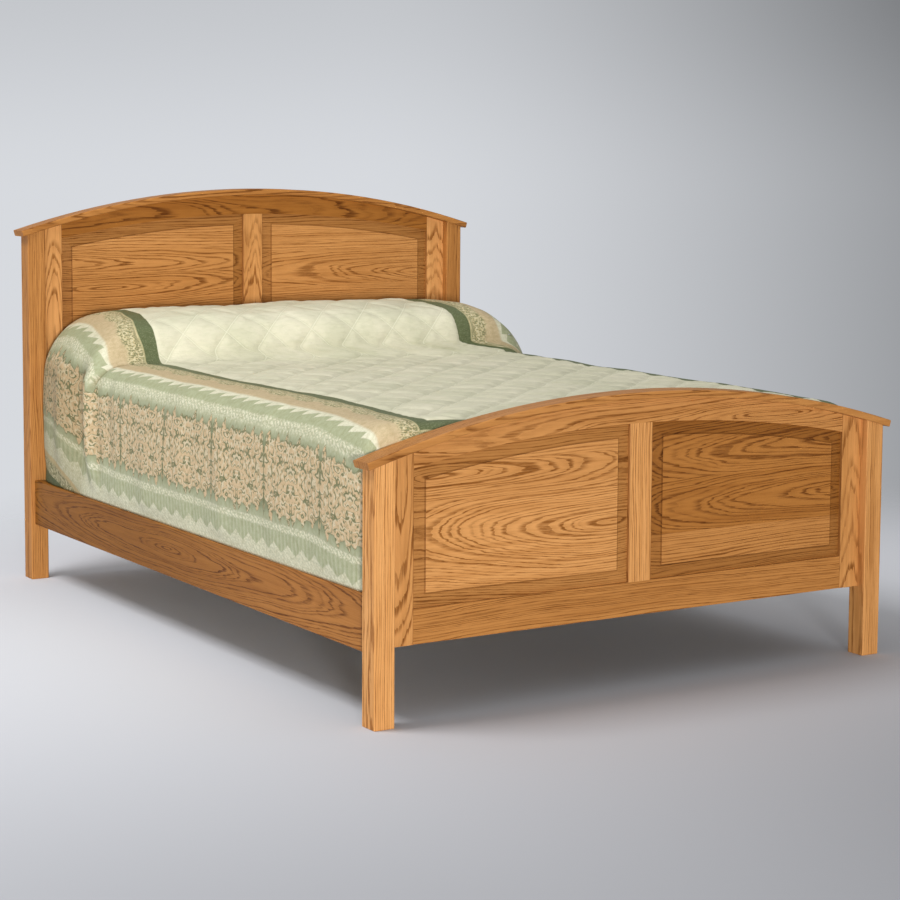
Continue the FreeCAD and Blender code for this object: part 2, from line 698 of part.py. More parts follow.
def glide_pad(y):
    """Round pad on the floor, with a neck around the stud."""
    pad = Part.makeCylinder(GLIDE_PAD_RADIUS, GLIDE_PAD_HEIGHT - GLIDE_NECK_HEIGHT, V(0, y, 0), Z_AXIS)
    rim = [edge for edge in pad.Edges if edge.BoundBox.ZMin > 1]
    pad = pad.makeFillet(GLIDE_PAD_EDGE_RADIUS, rim)
    neck_foot = V(0, y, GLIDE_PAD_HEIGHT - GLIDE_NECK_HEIGHT)
    neck = Part.makeCylinder(GLIDE_NECK_RADIUS, GLIDE_NECK_HEIGHT, neck_foot, Z_AXIS)
    return pad.fuse(neck).removeSplitter().cut(glide_stud(y))


def centre_leg(y):
    half = LEG_WIDTH / 2
    leg = eased_bar(-half, half, y - half, y + half, LEG_FLOOR_GAP, LEG_TOP, Z_AXIS, LEG_EDGE_RADIUS)
    stud_top = GLIDE_PAD_HEIGHT - GLIDE_STUD_IN_PAD + GLIDE_STUD_LENGTH
    hole_depth = stud_top + GLIDE_HOLE_EXTRA - LEG_FLOOR_GAP
    hole = Part.makeCylinder(GLIDE_STUD_RADIUS + 1, hole_depth, V(0, y, LEG_FLOOR_GAP), Z_AXIS)
    return leg.cut([glide_insert(y, JOINT_CLEARANCE), hole] + leg_screws(y, screw_hole))


# ---- mattress, pillows and coverlet ---------------------------------------------------------
def box_spring():
    return padded_block(
        MATTRESS_WIDTH / 2,
        MATTRESS_LENGTH / 2,
        BOX_SPRING_BOTTOM,
        BOX_SPRING_BOTTOM + BOX_SPRING_HEIGHT,
        BOX_SPRING_EDGE_RADIUS,
    )


def mattress():
    return padded_block(
        MATTRESS_WIDTH / 2, MATTRESS_LENGTH / 2, MATTRESS_BOTTOM, MATTRESS_TOP, MATTRESS_EDGE_RADIUS
    )


def pillow_section(x, depth, height):
    """Lens-shaped section of a pillow across its length: flat-bellied, with a high crown."""
    back = POST_FACE_Y - PILLOW_HEAD_GAP - (PILLOW_DEPTH - depth) / 2
    front = back - depth
    middle = (front + back) / 2
    base = MATTRESS_TOP + SOFT_CLEARANCE
    waist = base + 0.42 * height
    front_tip = V(x, front, waist)
    back_tip = V(x, back, waist)
    crown = Part.Arc(front_tip, V(x, middle, base + height), back_tip).toShape()
    belly = Part.Arc(back_tip, V(x, middle, base), front_tip).toShape()
    return Part.Wire([crown, belly])


def pillow():
    """Pillow on the +X side, drawn in towards both ends."""
    start = PILLOW_SPLIT / 2
    stations = (
        (0.0, PILLOW_DEPTH * 0.8, PILLOW_END_HEIGHT),
        (0.14, PILLOW_DEPTH * 0.94, PILLOW_HEIGHT * 0.84),
        (0.35, PILLOW_DEPTH, PILLOW_HEIGHT),
        (0.65, PILLOW_DEPTH, PILLOW_HEIGHT),
        (0.86, PILLOW_DEPTH * 0.94, PILLOW_HEIGHT * 0.84),
        (1.0, PILLOW_DEPTH * 0.8, PILLOW_END_HEIGHT),
    )
    wires = [pillow_section(start + share * PILLOW_LENGTH, depth, height) for share, depth, height in stations]
    return Part.makeLoft(wires, True, True)


class Drape:
    """Outline of the coverlet across the bed at one place along it."""

    def __init__(self, y, middle, near, far, shoulder_width, shoulder_depth, drawn_in=0.0):
        self.y = y
        self.middle = middle
        self.near = near
        self.far = far
        self.shoulder_width = shoulder_width
        self.shoulder_depth = shoulder_depth
        self.hem_x = RAIL_OUTER_X - COVERLET_HEM_INSET - drawn_in
        self.side_x = self.hem_x + COVERLET_BULGE

    def side(self, hand, inset):
        """Hem, bulge, shoulder and the top's edge on one side, as points from the hem up."""
        hem_z = RAIL_TOP + COVERLET_HEM_GAP
        edge_z = self.near if hand < 0 else self.far
        shoulder_z = edge_z - self.shoulder_depth
        bulge_z = (hem_z + shoulder_z) / 2
        corner = 0.293
        shoulder_x = self.side_x - 3
        top_x = shoulder_x - self.shoulder_width
        middle_x = shoulder_x - corner * self.shoulder_width
        middle_z = edge_z - corner * self.shoulder_depth
        slant = inset * 0.7071
        return [
            V(hand * (self.hem_x - inset), self.y, hem_z),
            V(hand * (self.side_x - inset), self.y, bulge_z),
            V(hand * (shoulder_x - inset), self.y, shoulder_z),
            V(hand * (middle_x - slant), self.y, middle_z - slant),
            V(hand * top_x, self.y, edge_z - inset),
        ]

    def line(self, inset):
        """Edges from the -X hem over the top to the +X hem."""
        near = self.side(-1, inset)
        far = self.side(1, inset)
        top = V(0, self.y, self.middle - inset)
        arcs = (
            (near[0], near[1], near[2]),
            (near[2], near[3], near[4]),
            (near[4], top, far[4]),
            (far[4], far[3], far[2]),
            (far[2], far[1], far[0]),
        )
        return [Part.Arc(*points).toShape() for points in arcs]

    def ring(self):
        """Closed section of the cloth: outside, hem, inside, hem."""
        outside = self.line(0)
        inside = self.line(COVERLET_THICKNESS)
        near_hem = Part.makeLine(self.side(-1, 0)[0], self.side(-1, COVERLET_THICKNESS)[0])
        far_hem = Part.makeLine(self.side(1, 0)[0], self.side(1, COVERLET_THICKNESS)[0])
        return Part.Wire(outside + [far_hem] + inside[::-1] + [near_hem])

    def face(self):
        """Whole outline of the bed here, closed along the hem."""
        hem = Part.makeLine(self.side(1, 0)[0], self.side(-1, 0)[0])
        return Part.Face(Part.Wire(self.line(0) + [hem]))


def flat_drape(y, drop=0.0, drawn_in=0.0):
    """Coverlet over the mattress alone."""
    middle = MATTRESS_TOP + COVERLET_LOFT - drop
    return Drape(
        y,
        middle,
        middle + COVERLET_NEAR_LIFT,
        middle - COVERLET_FAR_DROP,
        SHOULDER_WIDTH,
        SHOULDER_DEPTH,
        drawn_in,
    )


def roll_drape(y, share):
    """Coverlet over the pillows, raised by a share of the roll's height."""
    flat = flat_drape(y)
    roll = MATTRESS_TOP + PILLOW_HEIGHT + ROLL_COVER
    return Drape(
        y,
        flat.middle + share * (roll - flat.middle),
        flat.near + share * (roll - ROLL_NEAR_DROP - flat.near),
        flat.far + share * (roll - ROLL_FAR_DROP - flat.far),
        SHOULDER_WIDTH + share * (ROLL_SHOULDER_WIDTH - SHOULDER_WIDTH),
        SHOULDER_DEPTH + share * (ROLL_SHOULDER_DEPTH - SHOULDER_DEPTH),
    )


def coverlet():
    """Quilted spread: a thin shell over mattress and pillows, closed at the foot."""
    foot_y = -POST_FACE_Y + COVERLET_POST_GAP
    head_y = POST_FACE_Y - COVERLET_POST_GAP
    crease_y = POST_FACE_Y - PILLOW_HEAD_GAP - PILLOW_DEPTH - ROLL_FOOT
    drapes = [
        flat_drape(foot_y, FOOT_DROP, FOOT_DRAW_IN),
        flat_drape(foot_y + 10, FOOT_DROP * 0.4, FOOT_DRAW_IN * 0.4),
        flat_drape(foot_y + 30, FOOT_DROP * 0.12, FOOT_DRAW_IN * 0.1),
        flat_drape(foot_y + 62),
        flat_drape(0),
        flat_drape(crease_y - 60),
        roll_drape(crease_y, 0.05),
        roll_drape(crease_y + 20, 0.45),
        roll_drape(crease_y + 50, 0.76),
        roll_drape(crease_y + 100, 0.92),
        roll_drape(crease_y + 180, 1.0),
        roll_drape(head_y - 120, 1.0),
        roll_drape(head_y - 40, 0.9),
        roll_drape(head_y, 0.7),
    ]
    shell = Part.makeLoft([drape.ring() for drape in drapes], True, True)
    foot = slab(drapes[0].face(), COVERLET_THICKNESS)
    return shell.fuse(foot).removeSplitter()


# ---- the bed --------------------------------------------------------------------------------
os.makedirs("parts", exist_ok=True)

cap_dowels = []
for board_name, crown, front_y in BOARDS:
    board = Board(crown, front_y)
    board_end = 1 if front_y > 0 else -1
    post = board.post(post_tools(board_end))
    stile = board.stile()
    panel = board.panel()
    for side_name, side in SIDES:
        save(f"{board_name}_post_{side_name}", [on_side(post, side)])
        save(f"{board_name}_stile_{side_name}", [on_side(stile, side)])
        save(f"{board_name}_panel_{side_name}", [on_side(panel, side)])
    save(f"{board_name}_mullion", [board.mullion()])
    save(f"{board_name}_top_rail", [board.top_rail()])
    save(f"{board_name}_bottom_rail", [board.bottom_rail()])
    save(f"{board_name}_cap", [board.cap()])
    cap_dowels += board.dowels(0, 0)
save("cap_dowels", cap_dowels)

rail_shape = side_rail()
ledger_shape = ledger()
for side_name, side in SIDES:
    save(f"side_rail_{side_name}", [on_side(rail_shape, side)])
    save(f"slat_ledger_{side_name}", [on_side(ledger_shape, side)])
    for end_name, end in (("foot", -1), ("head", 1)):
        save(f"rail_hook_plate_{end_name}_{side_name}", [on_side(hook_plate(end), side)])
        save(f"post_catch_plate_{end_name}_{side_name}", [on_side(catch_plate(end), side)])

hook_screws = []
catch_screws = []
rail_screws = []
for side_name, side in SIDES:
    for end in (-1, 1):
        hook_screws += [on_side(each, side) for each in plate_screws(end, -1, screw)]
        catch_screws += [on_side(each, side) for each in plate_screws(end, 1, screw)]
    rail_screws += [on_side(each, side) for each in ledger_screws(screw)]
save("hook_plate_screws", hook_screws)
save("catch_plate_screws", catch_screws)
save("ledger_screws", rail_screws)

for number, y in enumerate(slat_places(), start=1):
    save(f"slat_{number}", [slat(y)])
save("slat_screws", [each for y in slat_places() for each in slat_screws(y, screw)])
save("centre_beam", [centre_beam()])

beam_screws = [beam_screw(y, screw) for y in slat_places()]
for end_name, end in ENDS:
    leg_y = end * LEG_FROM_CENTRE
    beam_screws += leg_screws(leg_y, screw)
    save(f"centre_leg_{end_name}", [centre_leg(leg_y)])
    save(f"glide_insert_{end_name}", [glide_insert(leg_y)])
    save(f"glide_stud_{end_name}", [glide_stud(leg_y)])
    save(f"glide_pad_{end_name}", [glide_pad(leg_y)])
save("centre_beam_screws", beam_screws)

save("box_spring", [box_spring()])
save("mattress", [mattress()])
pillow_shape = pillow()
for side_name, side in SIDES:
    save(f"pillow_{side_name}", [on_side(pillow_shape, side)])
save("coverlet", [coverlet()])
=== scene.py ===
import math
import random
from collections import namedtuple

import bpy
import numpy as np
from mathutils import Matrix, Vector


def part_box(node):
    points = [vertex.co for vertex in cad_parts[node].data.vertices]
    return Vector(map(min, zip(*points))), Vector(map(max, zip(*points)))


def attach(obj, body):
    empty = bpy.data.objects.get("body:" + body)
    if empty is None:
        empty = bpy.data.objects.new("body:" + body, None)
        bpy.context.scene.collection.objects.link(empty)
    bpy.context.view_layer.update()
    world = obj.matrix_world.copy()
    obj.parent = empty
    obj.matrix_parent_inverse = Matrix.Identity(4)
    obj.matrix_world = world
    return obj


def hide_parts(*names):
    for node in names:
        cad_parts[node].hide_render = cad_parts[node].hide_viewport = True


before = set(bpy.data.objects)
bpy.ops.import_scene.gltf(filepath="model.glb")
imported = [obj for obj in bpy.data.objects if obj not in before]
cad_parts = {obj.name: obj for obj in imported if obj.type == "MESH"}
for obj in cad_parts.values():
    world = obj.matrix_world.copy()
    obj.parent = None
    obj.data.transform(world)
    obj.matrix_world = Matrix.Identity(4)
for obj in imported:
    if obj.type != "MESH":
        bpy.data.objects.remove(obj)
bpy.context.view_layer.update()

bl_info = {
    "name": "Panel Bed",
    "version": (1, 0, 0),
    "blender": (4, 5, 0),
    "location": "View3D > Sidebar > Panel Bed",
    "description": "Finishes a panel bed: oak, hardware, mattress set, pillows and quilted spread",
    "category": "Object",
}

# ---- where things stand, in metres, read from the frame --------------------------------------
SPREAD_LOW, SPREAD_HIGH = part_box("coverlet")
PILLOW_LOW, PILLOW_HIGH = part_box("pillow_right")
MATTRESS_LOW, MATTRESS_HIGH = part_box("mattress")
SPRING_LOW, SPRING_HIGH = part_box("box_spring")
RAIL_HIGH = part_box("side_rail_right")[1]


# ---- settings -------------------------------------------------------------------------------
def colour_setting(name, description, default):
    """A paint pot in the sidebar, in linear values."""
    return bpy.props.FloatVectorProperty(
        name=name, description=description, subtype="COLOR", size=3, min=0.0, max=1.0, default=default
    )


def length_setting(name, description, default):
    """A size in the sidebar, in metres."""
    return bpy.props.FloatProperty(
        name=name, description=description, unit="LENGTH", min=0.0, precision=4, default=default
    )


class PANELBED_PG_oak(bpy.types.PropertyGroup):
    """Colours and ring width of the oak."""

    honey: colour_setting("Honey", "Summer wood of the lightest planks", (0.74, 0.358, 0.120))
    honey_line: colour_setting("Honey line", "Porous ring lines of the lightest planks", (0.34, 0.125, 0.024))
    amber: colour_setting("Amber", "Summer wood of the darkest planks", (0.42, 0.165, 0.032))
    amber_line: colour_setting("Amber line", "Porous ring lines of the darkest planks", (0.165, 0.050, 0.006))
    ring_width: length_setting("Ring width", "Distance between two year rings", 0.0062)


class PANELBED_PG_spread(bpy.types.PropertyGroup):
    """Colours and sizes of the quilted spread."""

    field: colour_setting("Field", "Quilted middle of the spread", (0.755, 0.72, 0.545))
    cream: colour_setting("Cream", "Light threads of the border", (0.76, 0.74, 0.56))
    sage: colour_setting("Sage", "Pale green of the border", (0.43, 0.455, 0.285))
    forest: colour_setting("Forest", "Dark green of the border", (0.122, 0.148, 0.066))
    blush: colour_setting("Blush", "Pinkish beige of the leaves", (0.66, 0.46, 0.26))
    gold: colour_setting("Gold", "Pale gold thread of the vine", (0.66, 0.58, 0.33))
    diamond: length_setting("Diamond", "Side of one quilted diamond", 0.118)
    puff: length_setting("Puff", "How far a diamond stands up between its seams", 0.0055)
    thickness: length_setting("Thickness", "Cloth with its wadding", 0.006)


class PANELBED_PG_stage(bpy.types.PropertyGroup):
    """Floor, light and background."""

    floor: colour_setting("Floor", "Pale floor", (0.77, 0.79, 0.845))
    wall: colour_setting("Wall", "Backdrop behind the bed", (0.68, 0.70, 0.735))
    sky: bpy.props.FloatProperty(
        name="Sky", description="Even light from all round", min=0.0, default=0.60
    )
    front: bpy.props.FloatProperty(
        name="Front", description="Low soft lamp at the front left", subtype="POWER", min=0.0, default=2400.0
    )
    top: bpy.props.FloatProperty(
        name="Top", description="High soft lamp at the left", subtype="POWER", min=0.0, default=160.0
    )


# ---- node graphs as sums ----------------------------------------------------------------------
class Term:
    """A number that varies over a surface, usable in sums and products."""

    def __init__(self, finish, socket):
        self.finish = finish
        self.socket = socket

    def __add__(self, other):
        return self.finish.math("ADD", self, other)

    __radd__ = __add__

    def __sub__(self, other):
        return self.finish.math("SUBTRACT", self, other)

    def __rsub__(self, other):
        return self.finish.math("SUBTRACT", other, self)

    def __mul__(self, other):
        return self.finish.math("MULTIPLY", self, other)

    __rmul__ = __mul__

    def __truediv__(self, other):
        return self.finish.math("DIVIDE", self, other)

    def power(self, exponent):
        return self.finish.math("POWER", self, exponent)

    def size(self):
        return self.finish.math("ABSOLUTE", self)

    def above(self, limit):
        return self.finish.math("GREATER_THAN", self, limit)

    def part(self):
        """What is left after the whole number."""
        return self.finish.math("FRACT", self)

    def whole(self):
        return self.finish.math("FLOOR", self)

    def sine(self):
        return self.finish.math("SINE", self)

    def zigzag(self, period):
        """Triangle wave from 0 to 1 and back."""
        return self.finish.math("PINGPONG", self / period, 0.5) * 2.0

    def ramp(self, low, high):
        """0 below low, 1 above high, with a soft change between."""
        node = self.finish.add("ShaderNodeMapRange", interpolation_type="SMOOTHSTEP")
        self.finish.feed(node.inputs["Value"], self)
        node.inputs["From Min"].default_value = low
        node.inputs["From Max"].default_value = high
        return Term(self.finish, node.outputs["Result"])

    def starts(self, edge, width):
        """0 before an edge, 1 once it is past by a width."""
        return self.ramp(edge, edge + width)

    def close_to(self, other, width):
        """1 where two terms are alike, 0 where they differ by more than width."""
        return 1.0 - (self - other).size().ramp(width * 0.5, width)


class Finish:
    """Node material for one kind of surface."""

    def __init__(self, name):
        self.material = bpy.data.materials.new(name)
        self.material.use_nodes = True
        self.nodes = self.material.node_tree.nodes
        self.links = self.material.node_tree.links
        self.nodes.clear()
        self.surface = self.add("ShaderNodeBsdfPrincipled")
        output = self.add("ShaderNodeOutputMaterial")
        self.links.new(self.surface.outputs["BSDF"], output.inputs["Surface"])

    def add(self, kind, **settings):
        node = self.nodes.new(kind)
        for key, value in settings.items():
            setattr(node, key, value)
        return node

    def feed(self, socket, value):
        if isinstance(value, Term):
            self.links.new(value.socket, socket)
        else:
            socket.default_value = value

    def math(self, operation, *values):
        node = self.add("ShaderNodeMath", operation=operation)
        for socket, value in zip(node.inputs, values):
            self.feed(socket, value)
        return Term(self, node.outputs[0])

    def place(self):
        """The three coordinates of the bed, in metres."""
        coordinates = self.add("ShaderNodeTexCoord")
        return self.split(Term(self, coordinates.outputs["Object"]))

    def split(self, vector):
        node = self.add("ShaderNodeSeparateXYZ")
        self.feed(node.inputs[0], vector)
        return [Term(self, socket) for socket in node.outputs]

    def point(self, x, y, z):
        node = self.add("ShaderNodeCombineXYZ")
        for socket, value in zip(node.inputs, (x, y, z)):
            self.feed(socket, value)
        return Term(self, node.outputs[0])

    def noise(self, vector, scale=1.0, detail=2.0, roughness=0.5):
        """Cloudy value around 0.5, at a vector or at three coordinates."""
        if isinstance(vector, tuple):
            vector = self.point(*vector)
        node = self.add("ShaderNodeTexNoise")
        self.feed(node.inputs["Vector"], vector)
        node.inputs["Scale"].default_value = scale
        node.inputs["Detail"].default_value = detail
        node.inputs["Roughness"].default_value = roughness
        return Term(self, node.outputs[0])

    def dice(self, value):
        """One random number for each value."""
        node = self.add("ShaderNodeTexWhiteNoise", noise_dimensions="1D")
        self.feed(node.inputs["W"], value)
        return Term(self, node.outputs["Value"])

    def mix(self, share, first, second):
        """Colour between two colours."""
        node = self.add("ShaderNodeMix", data_type="RGBA")
        self.feed(node.inputs["Factor"], share)
        for socket, value in ((node.inputs[6], first), (node.inputs[7], second)):
            self.feed(socket, value if isinstance(value, Term) else (*value, 1.0))
        return Term(self, node.outputs[2])

    def shaded(self, share, colour, factor):
        """A colour darkened by a factor where share is 1."""
        node = self.add("ShaderNodeMix", data_type="RGBA", blend_type="MULTIPLY")
        self.feed(node.inputs["Factor"], share)
        self.feed(node.inputs[6], colour)
        node.inputs[7].default_value = (*factor, 1.0)
        return Term(self, node.outputs[2])

    def paint(self, share, colour):
        """Lays a colour over what is painted so far."""
        self.colour = self.mix(share, self.colour, colour)

    def darken(self, share, factor):
        """Darkens what is painted so far by a factor."""
        self.colour = self.shaded(share, self.colour, factor)

    def look(self, colour, roughness, **sockets):
        self.feed(self.surface.inputs["Base Color"], colour if isinstance(colour, Term) else (*colour, 1.0))
        self.feed(self.surface.inputs["Roughness"], roughness)
        for key, value in sockets.items():
            self.surface.inputs[key.replace("_", " ")].default_value = value
        return self

    def relief(self, height, depth):
        """Fine unevenness, height from 0 to 1 over a depth in metres."""
        node = self.add("ShaderNodeBump")
        node.inputs["Distance"].default_value = depth
        self.feed(node.inputs["Height"], height)
        self.links.new(node.outputs[0], self.surface.inputs["Normal"])
        return self


def stepped(value, cuts, levels):
    """A term that takes one level up to the first cut, the next up to the second, and so on."""
    total = levels[0]
    for cut, before, after in zip(cuts, levels, levels[1:]):
        if after != before:
            total = value.above(cut) * (after - before) + total
    return total


# ---- oak --------------------------------------------------------------------------------------
# Where a plank was in its log: heart line across the plank, place along it where the heart comes
# nearest, distance of the heart there, its slope along the plank, and how amber the plank is.
Plank = namedtuple("Plank", "heart start depth slope amber")


def blend_colour(share, first, second):
    return tuple(a + (b - a) * share for a, b in zip(first, second))


def wood_finish(
    name, grain, across, middle, planks, cuts, palette, ring_width, seed,
    gloss=0.48, face=None, painted_shade_span=None, joints=None,
):
    """Sawn wood: year rings cut by the plank's faces, pores along the grain, and a satin lacquer; where
    asked, painted shade along a rail and on a panel's bevel and step.
    """
    finish = Finish(name)
    axes = dict(zip("xyz", finish.place()))
    deep_axis = next(axis for axis in "xyz" if axis not in (grain, across))
    along = axes[grain]
    wide = axes[across]
    deep = axes[deep_axis] - middle["xyz".index(deep_axis)]

    def level(field):
        return stepped(wide, cuts, [getattr(plank, field) for plank in planks])

    def figure(stretch, fineness, detail=2.0, shift=0.0):
        """Clouds drawn out along the grain."""
        return finish.noise((along * stretch, wide * fineness, deep * fineness + shift), detail=detail)

    plank_number = stepped(wide, cuts, [seed + 3.7 * number for number in range(len(planks))])
    drift = finish.noise((along * 1.3, plank_number, 0.0), detail=1.0) - 0.5
    dip = finish.noise((along * 2.1, plank_number, 5.0), detail=1.0) - 0.5
    sway = figure(3.2, 24.0, shift=plank_number) - 0.5
    jag = figure(9.0, 170.0) - 0.5
    side = wide - level("heart") + drift * 0.06
    depth = (along - level("start")) * level("slope") + level("depth") + deep + dip * 0.035
    ring = (side * side + depth * depth).power(0.5) + sway * 0.014 + jag * 0.0042
    years = ring / ring_width + finish.noise((ring * 55.0, plank_number, 9.0), detail=1.0) * 3.4
    season = years.part()
    strength = finish.dice(years.whole()) * 0.8 + 0.35
    fibre = figure(9.0, 430.0)
    vessels = season.ramp(0.0, 0.07) * (1.0 - season.ramp(0.16, 0.52))
    breaks = figure(16.0, 150.0)
    line = vessels * strength * (fibre * 1.2 + 0.1) * (breaks * 1.3 + 0.35)
    late = season.ramp(0.5, 1.0) * 0.16

    pores = figure(60.0, 1500.0, detail=1.0).ramp(0.56, 0.68) * (line * 0.85 + 0.15)
    streak = figure(1.7, 62.0, shift=plank_number)
    broad = figure(2.0, 11.0, detail=1.0, shift=plank_number)

    light, light_line, dark, dark_line = palette
    ambers = [plank.amber for plank in planks]
    if len(set(ambers)) == 1:
        summer = blend_colour(ambers[0], light, dark)
        spring = blend_colour(ambers[0], light_line, dark_line)
    else:
        amber = level("amber")
        summer = finish.mix(amber, light, dark)
        spring = finish.mix(amber, light_line, dark_line)
    finish.colour = finish.mix(line * 1.3 + late + (fibre - 0.5) * 0.5 + (breaks - 0.5) * 0.4, summer, spring)
    finish.darken((streak - 0.4).ramp(0.0, 0.35) * 0.6, (0.76, 0.68, 0.55))
    finish.darken((broad - 0.4).ramp(0.0, 0.35) * 0.35, (0.78, 0.72, 0.62))
    finish.darken(pores * 0.7, (0.45, 0.36, 0.28))
    if joints is not None:
        inside = finish.math("MINIMUM", wide - joints[0], joints[1] - wide)
        finish.darken((1.0 - inside.ramp(0.0012, 0.0028)) * 0.75, (0.50, 0.42, 0.30))
    # Painted shade along the grain: darker towards the head end of the side rails.
    if painted_shade_span is not None:
        finish.darken(along.ramp(*painted_shade_span), (0.64, 0.60, 0.38))
    if face is not None:
        behind = axes["y"] - face
        # The bevel round the field is darker: partly its end grain, partly painted shade of its slope.
        bevel_grain_and_shade = behind.ramp(0.0011, 0.0016) - behind.ramp(0.008, 0.010)
        finish.darken(bevel_grain_and_shade * 0.8, (0.64, 0.58, 0.45))
        # Painted shadow line at the step of the field's edge.
        finish.darken(behind.close_to(0.0012, 0.0009) * 0.5, (0.40, 0.32, 0.22))
    finish.look(finish.colour, pores * 0.22 + fibre * 0.1 + (gloss - 0.05), Specular_IOR_Level=0.14)
    finish.relief(1.0 - line * 0.35 - pores * 0.65 - fibre * 0.12, 0.0006)
    return finish.material


def rift_planks(rng, amber):
    """Straight lines: the heart lies well to one side."""
    hand = rng.choice((-1, 1))
    heart, start, slope = hand * rng.uniform(0.11, 0.2), rng.uniform(-0.4, 0.4), rng.uniform(-0.02, 0.02)
    return [Plank(heart, start, 0.05, slope, amber)]


def flat_planks(rng, amber, centre):
    """Tall pointed loops: the heart lies under the plank's middle and slopes along it."""
    slope = rng.choice((-1, 1)) * rng.uniform(0.05, 0.09)
    return [Plank(centre + rng.uniform(-0.012, 0.012), rng.uniform(-1.6, 1.6), 0.02, slope, amber)]


# How each oak piece is cut: grain, across, kind of cut, and how amber it is.
OAK_PIECES = {
    "footboard_post_left": ("z", "x", "rift", -0.35),
    "footboard_post_right": ("z", "x", "rift", 0.1),
    "headboard_post_left": ("z", "x", "rift", 0.6),
    "headboard_post_right": ("z", "x", "rift", 0.7),
    "footboard_stile_left": ("z", "x", "flat", 0.3),
    "footboard_stile_right": ("z", "x", "flat", 0.3),
    "headboard_stile_left": ("z", "x", "flat", -0.1),
    "headboard_stile_right": ("z", "x", "flat", -0.15),
    "footboard_mullion": ("z", "x", "rift", -0.05),
    "headboard_mullion": ("z", "x", "flat", 0.15),
    "footboard_top_rail": ("x", "z", "flat", 0.4),
    "headboard_top_rail": ("x", "z", "flat", 1.05),
    "footboard_bottom_rail": ("x", "z", "rift", 0.7),
    "headboard_bottom_rail": ("x", "z", "rift", 0.5),
    "footboard_cap": ("x", "y", "rift", 0.6),
    "headboard_cap": ("x", "y", "rift", 0.75),
    "side_rail_left": ("y", "z", "flat", 0.85),
    "side_rail_right": ("y", "z", "flat", 0.7),
}

# Panels are glued up from planks; the cuts are the heights of the glue lines.
PANEL_PLANKS = {
    "footboard_panel_left": (
        (0.535, 0.625),
        (
            Plank(0.451, -0.095, 0.0, 0.150, 0.12),
            Plank(0.590, -0.62, 0.01, -0.11, 0.2),
            Plank(0.760, 0.20, 0.03, 0.06, 0.25),
        ),
    ),
    "footboard_panel_right": (
        (0.395, 0.535),
        (
            Plank(0.250, 1.20, 0.02, 0.05, 0.60),
            Plank(0.462, 0.95, 0.0, -0.085, 0.92),
            Plank(0.600, 1.02, 0.0, -0.075, 0.88),
        ),
    ),
    "headboard_panel_left": (
        (0.55, 0.76, 0.965, 1.04),
        (
            Plank(0.45, 0.3, 0.02, 0.08, 0.55),
            Plank(0.62, -0.2, 0.02, -0.09, 0.65),
            Plank(0.930, -0.56, 0.0, 0.085, 0.60),
            Plank(1.000, -0.95, 0.0, 0.065, 0.50),
            Plank(1.16, -0.2, 0.03, 0.04, 0.3),
        ),
    ),
    "headboard_panel_right": (
        (0.55, 0.76, 0.905, 1.02),
        (
            Plank(0.43, -0.3, 0.02, 0.09, 0.35),
            Plank(0.66, 0.5, 0.02, -0.08, 0.45),
            Plank(0.70, 0.2, 0.03, 0.03, 0.45),
            Plank(0.945, 1.15, 0.0, -0.07, 0.40),
            Plank(1.22, 0.5, 0.03, 0.02, 0.3),
        ),
    ),
}

# Grain and across of the plain support wood.
SUPPORT_PIECES = {
    "slat_ledger_left": ("y", "z"),
    "slat_ledger_right": ("y", "z"),
    "centre_beam": ("y", "x"),
    **{f"slat_{number}": ("x", "y") for number in range(1, 8)},
    "centre_leg_front": ("z", "x"),
    "centre_leg_rear": ("z", "x"),
    "cap_dowels": ("z", "x"),
}
BIRCH = ((0.70, 0.50, 0.27), (0.55, 0.36, 0.17), (0.62, 0.42, 0.21), (0.47, 0.29, 0.13))


def put_on(node, material):
    """Gives a CAD node's object one material."""
    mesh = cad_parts[node].data
    mesh.materials.clear()
    mesh.materials.append(material)


def middle_of(node):
    low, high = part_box(node)
    return (low + high) / 2


class PANELBED_OT_oak_frame(bpy.types.Operator):
    """Give the head- and footboard and the side rails their oak"""

    bl_idname = "panelbed.oak_frame"
    bl_label = "Oak frame"

    def execute(self, context):
        oak = context.scene.panelbed_oak
        palette = tuple(tuple(pot) for pot in (oak.honey, oak.honey_line, oak.amber, oak.amber_line))
        for node, (grain, across, cut, amber) in OAK_PIECES.items():
            rng = random.Random(node)
            middle = middle_of(node)
            if cut == "rift":
                planks = rift_planks(rng, amber)
                offset = middle["xyz".index(across)]
                planks = [plank._replace(heart=plank.heart + offset) for plank in planks]
            else:
                planks = flat_planks(rng, amber, middle["xyz".index(across)])
            seed = rng.uniform(0.0, 50.0)
            # The side rails get painted shade along their length, darker towards their head end.
            painted_shade_span = (-1.0, 0.4) if node.startswith("side_rail") else None
            ends = [float(corner[0]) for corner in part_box(node)]
            joints = ends if "stile" in node or "mullion" in node else None
            material = wood_finish(
                node, grain, across, middle, planks, (), palette, oak.ring_width, seed,
                painted_shade_span=painted_shade_span, joints=joints,
            )
            put_on(node, material)
        for node, (cuts, planks) in PANEL_PLANKS.items():
            seed = random.Random(node).uniform(0.0, 50.0)
            face = float(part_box(node)[0][1])
            material = wood_finish(
                node, "x", "z", middle_of(node), planks, cuts, palette, oak.ring_width, seed, face=face
            )
            put_on(node, material)
        return {"FINISHED"}


class PANELBED_OT_support(bpy.types.Operator):
    """Give the slats, ledgers, centre beam and legs their plain birch"""

    bl_idname = "panelbed.support"
    bl_label = "Slats and support"

    def execute(self, context):
        for node, (grain, across) in SUPPORT_PIECES.items():
            rng = random.Random(node)
            middle = middle_of(node)
            planks = flat_planks(rng, rng.uniform(0.1, 0.6), middle["xyz".index(across)])
            material = wood_finish(
                node, grain, across, middle, planks, (), BIRCH, 0.004, rng.uniform(0.0, 50.0), gloss=0.6
            )
            put_on(node, material)
        return {"FINISHED"}


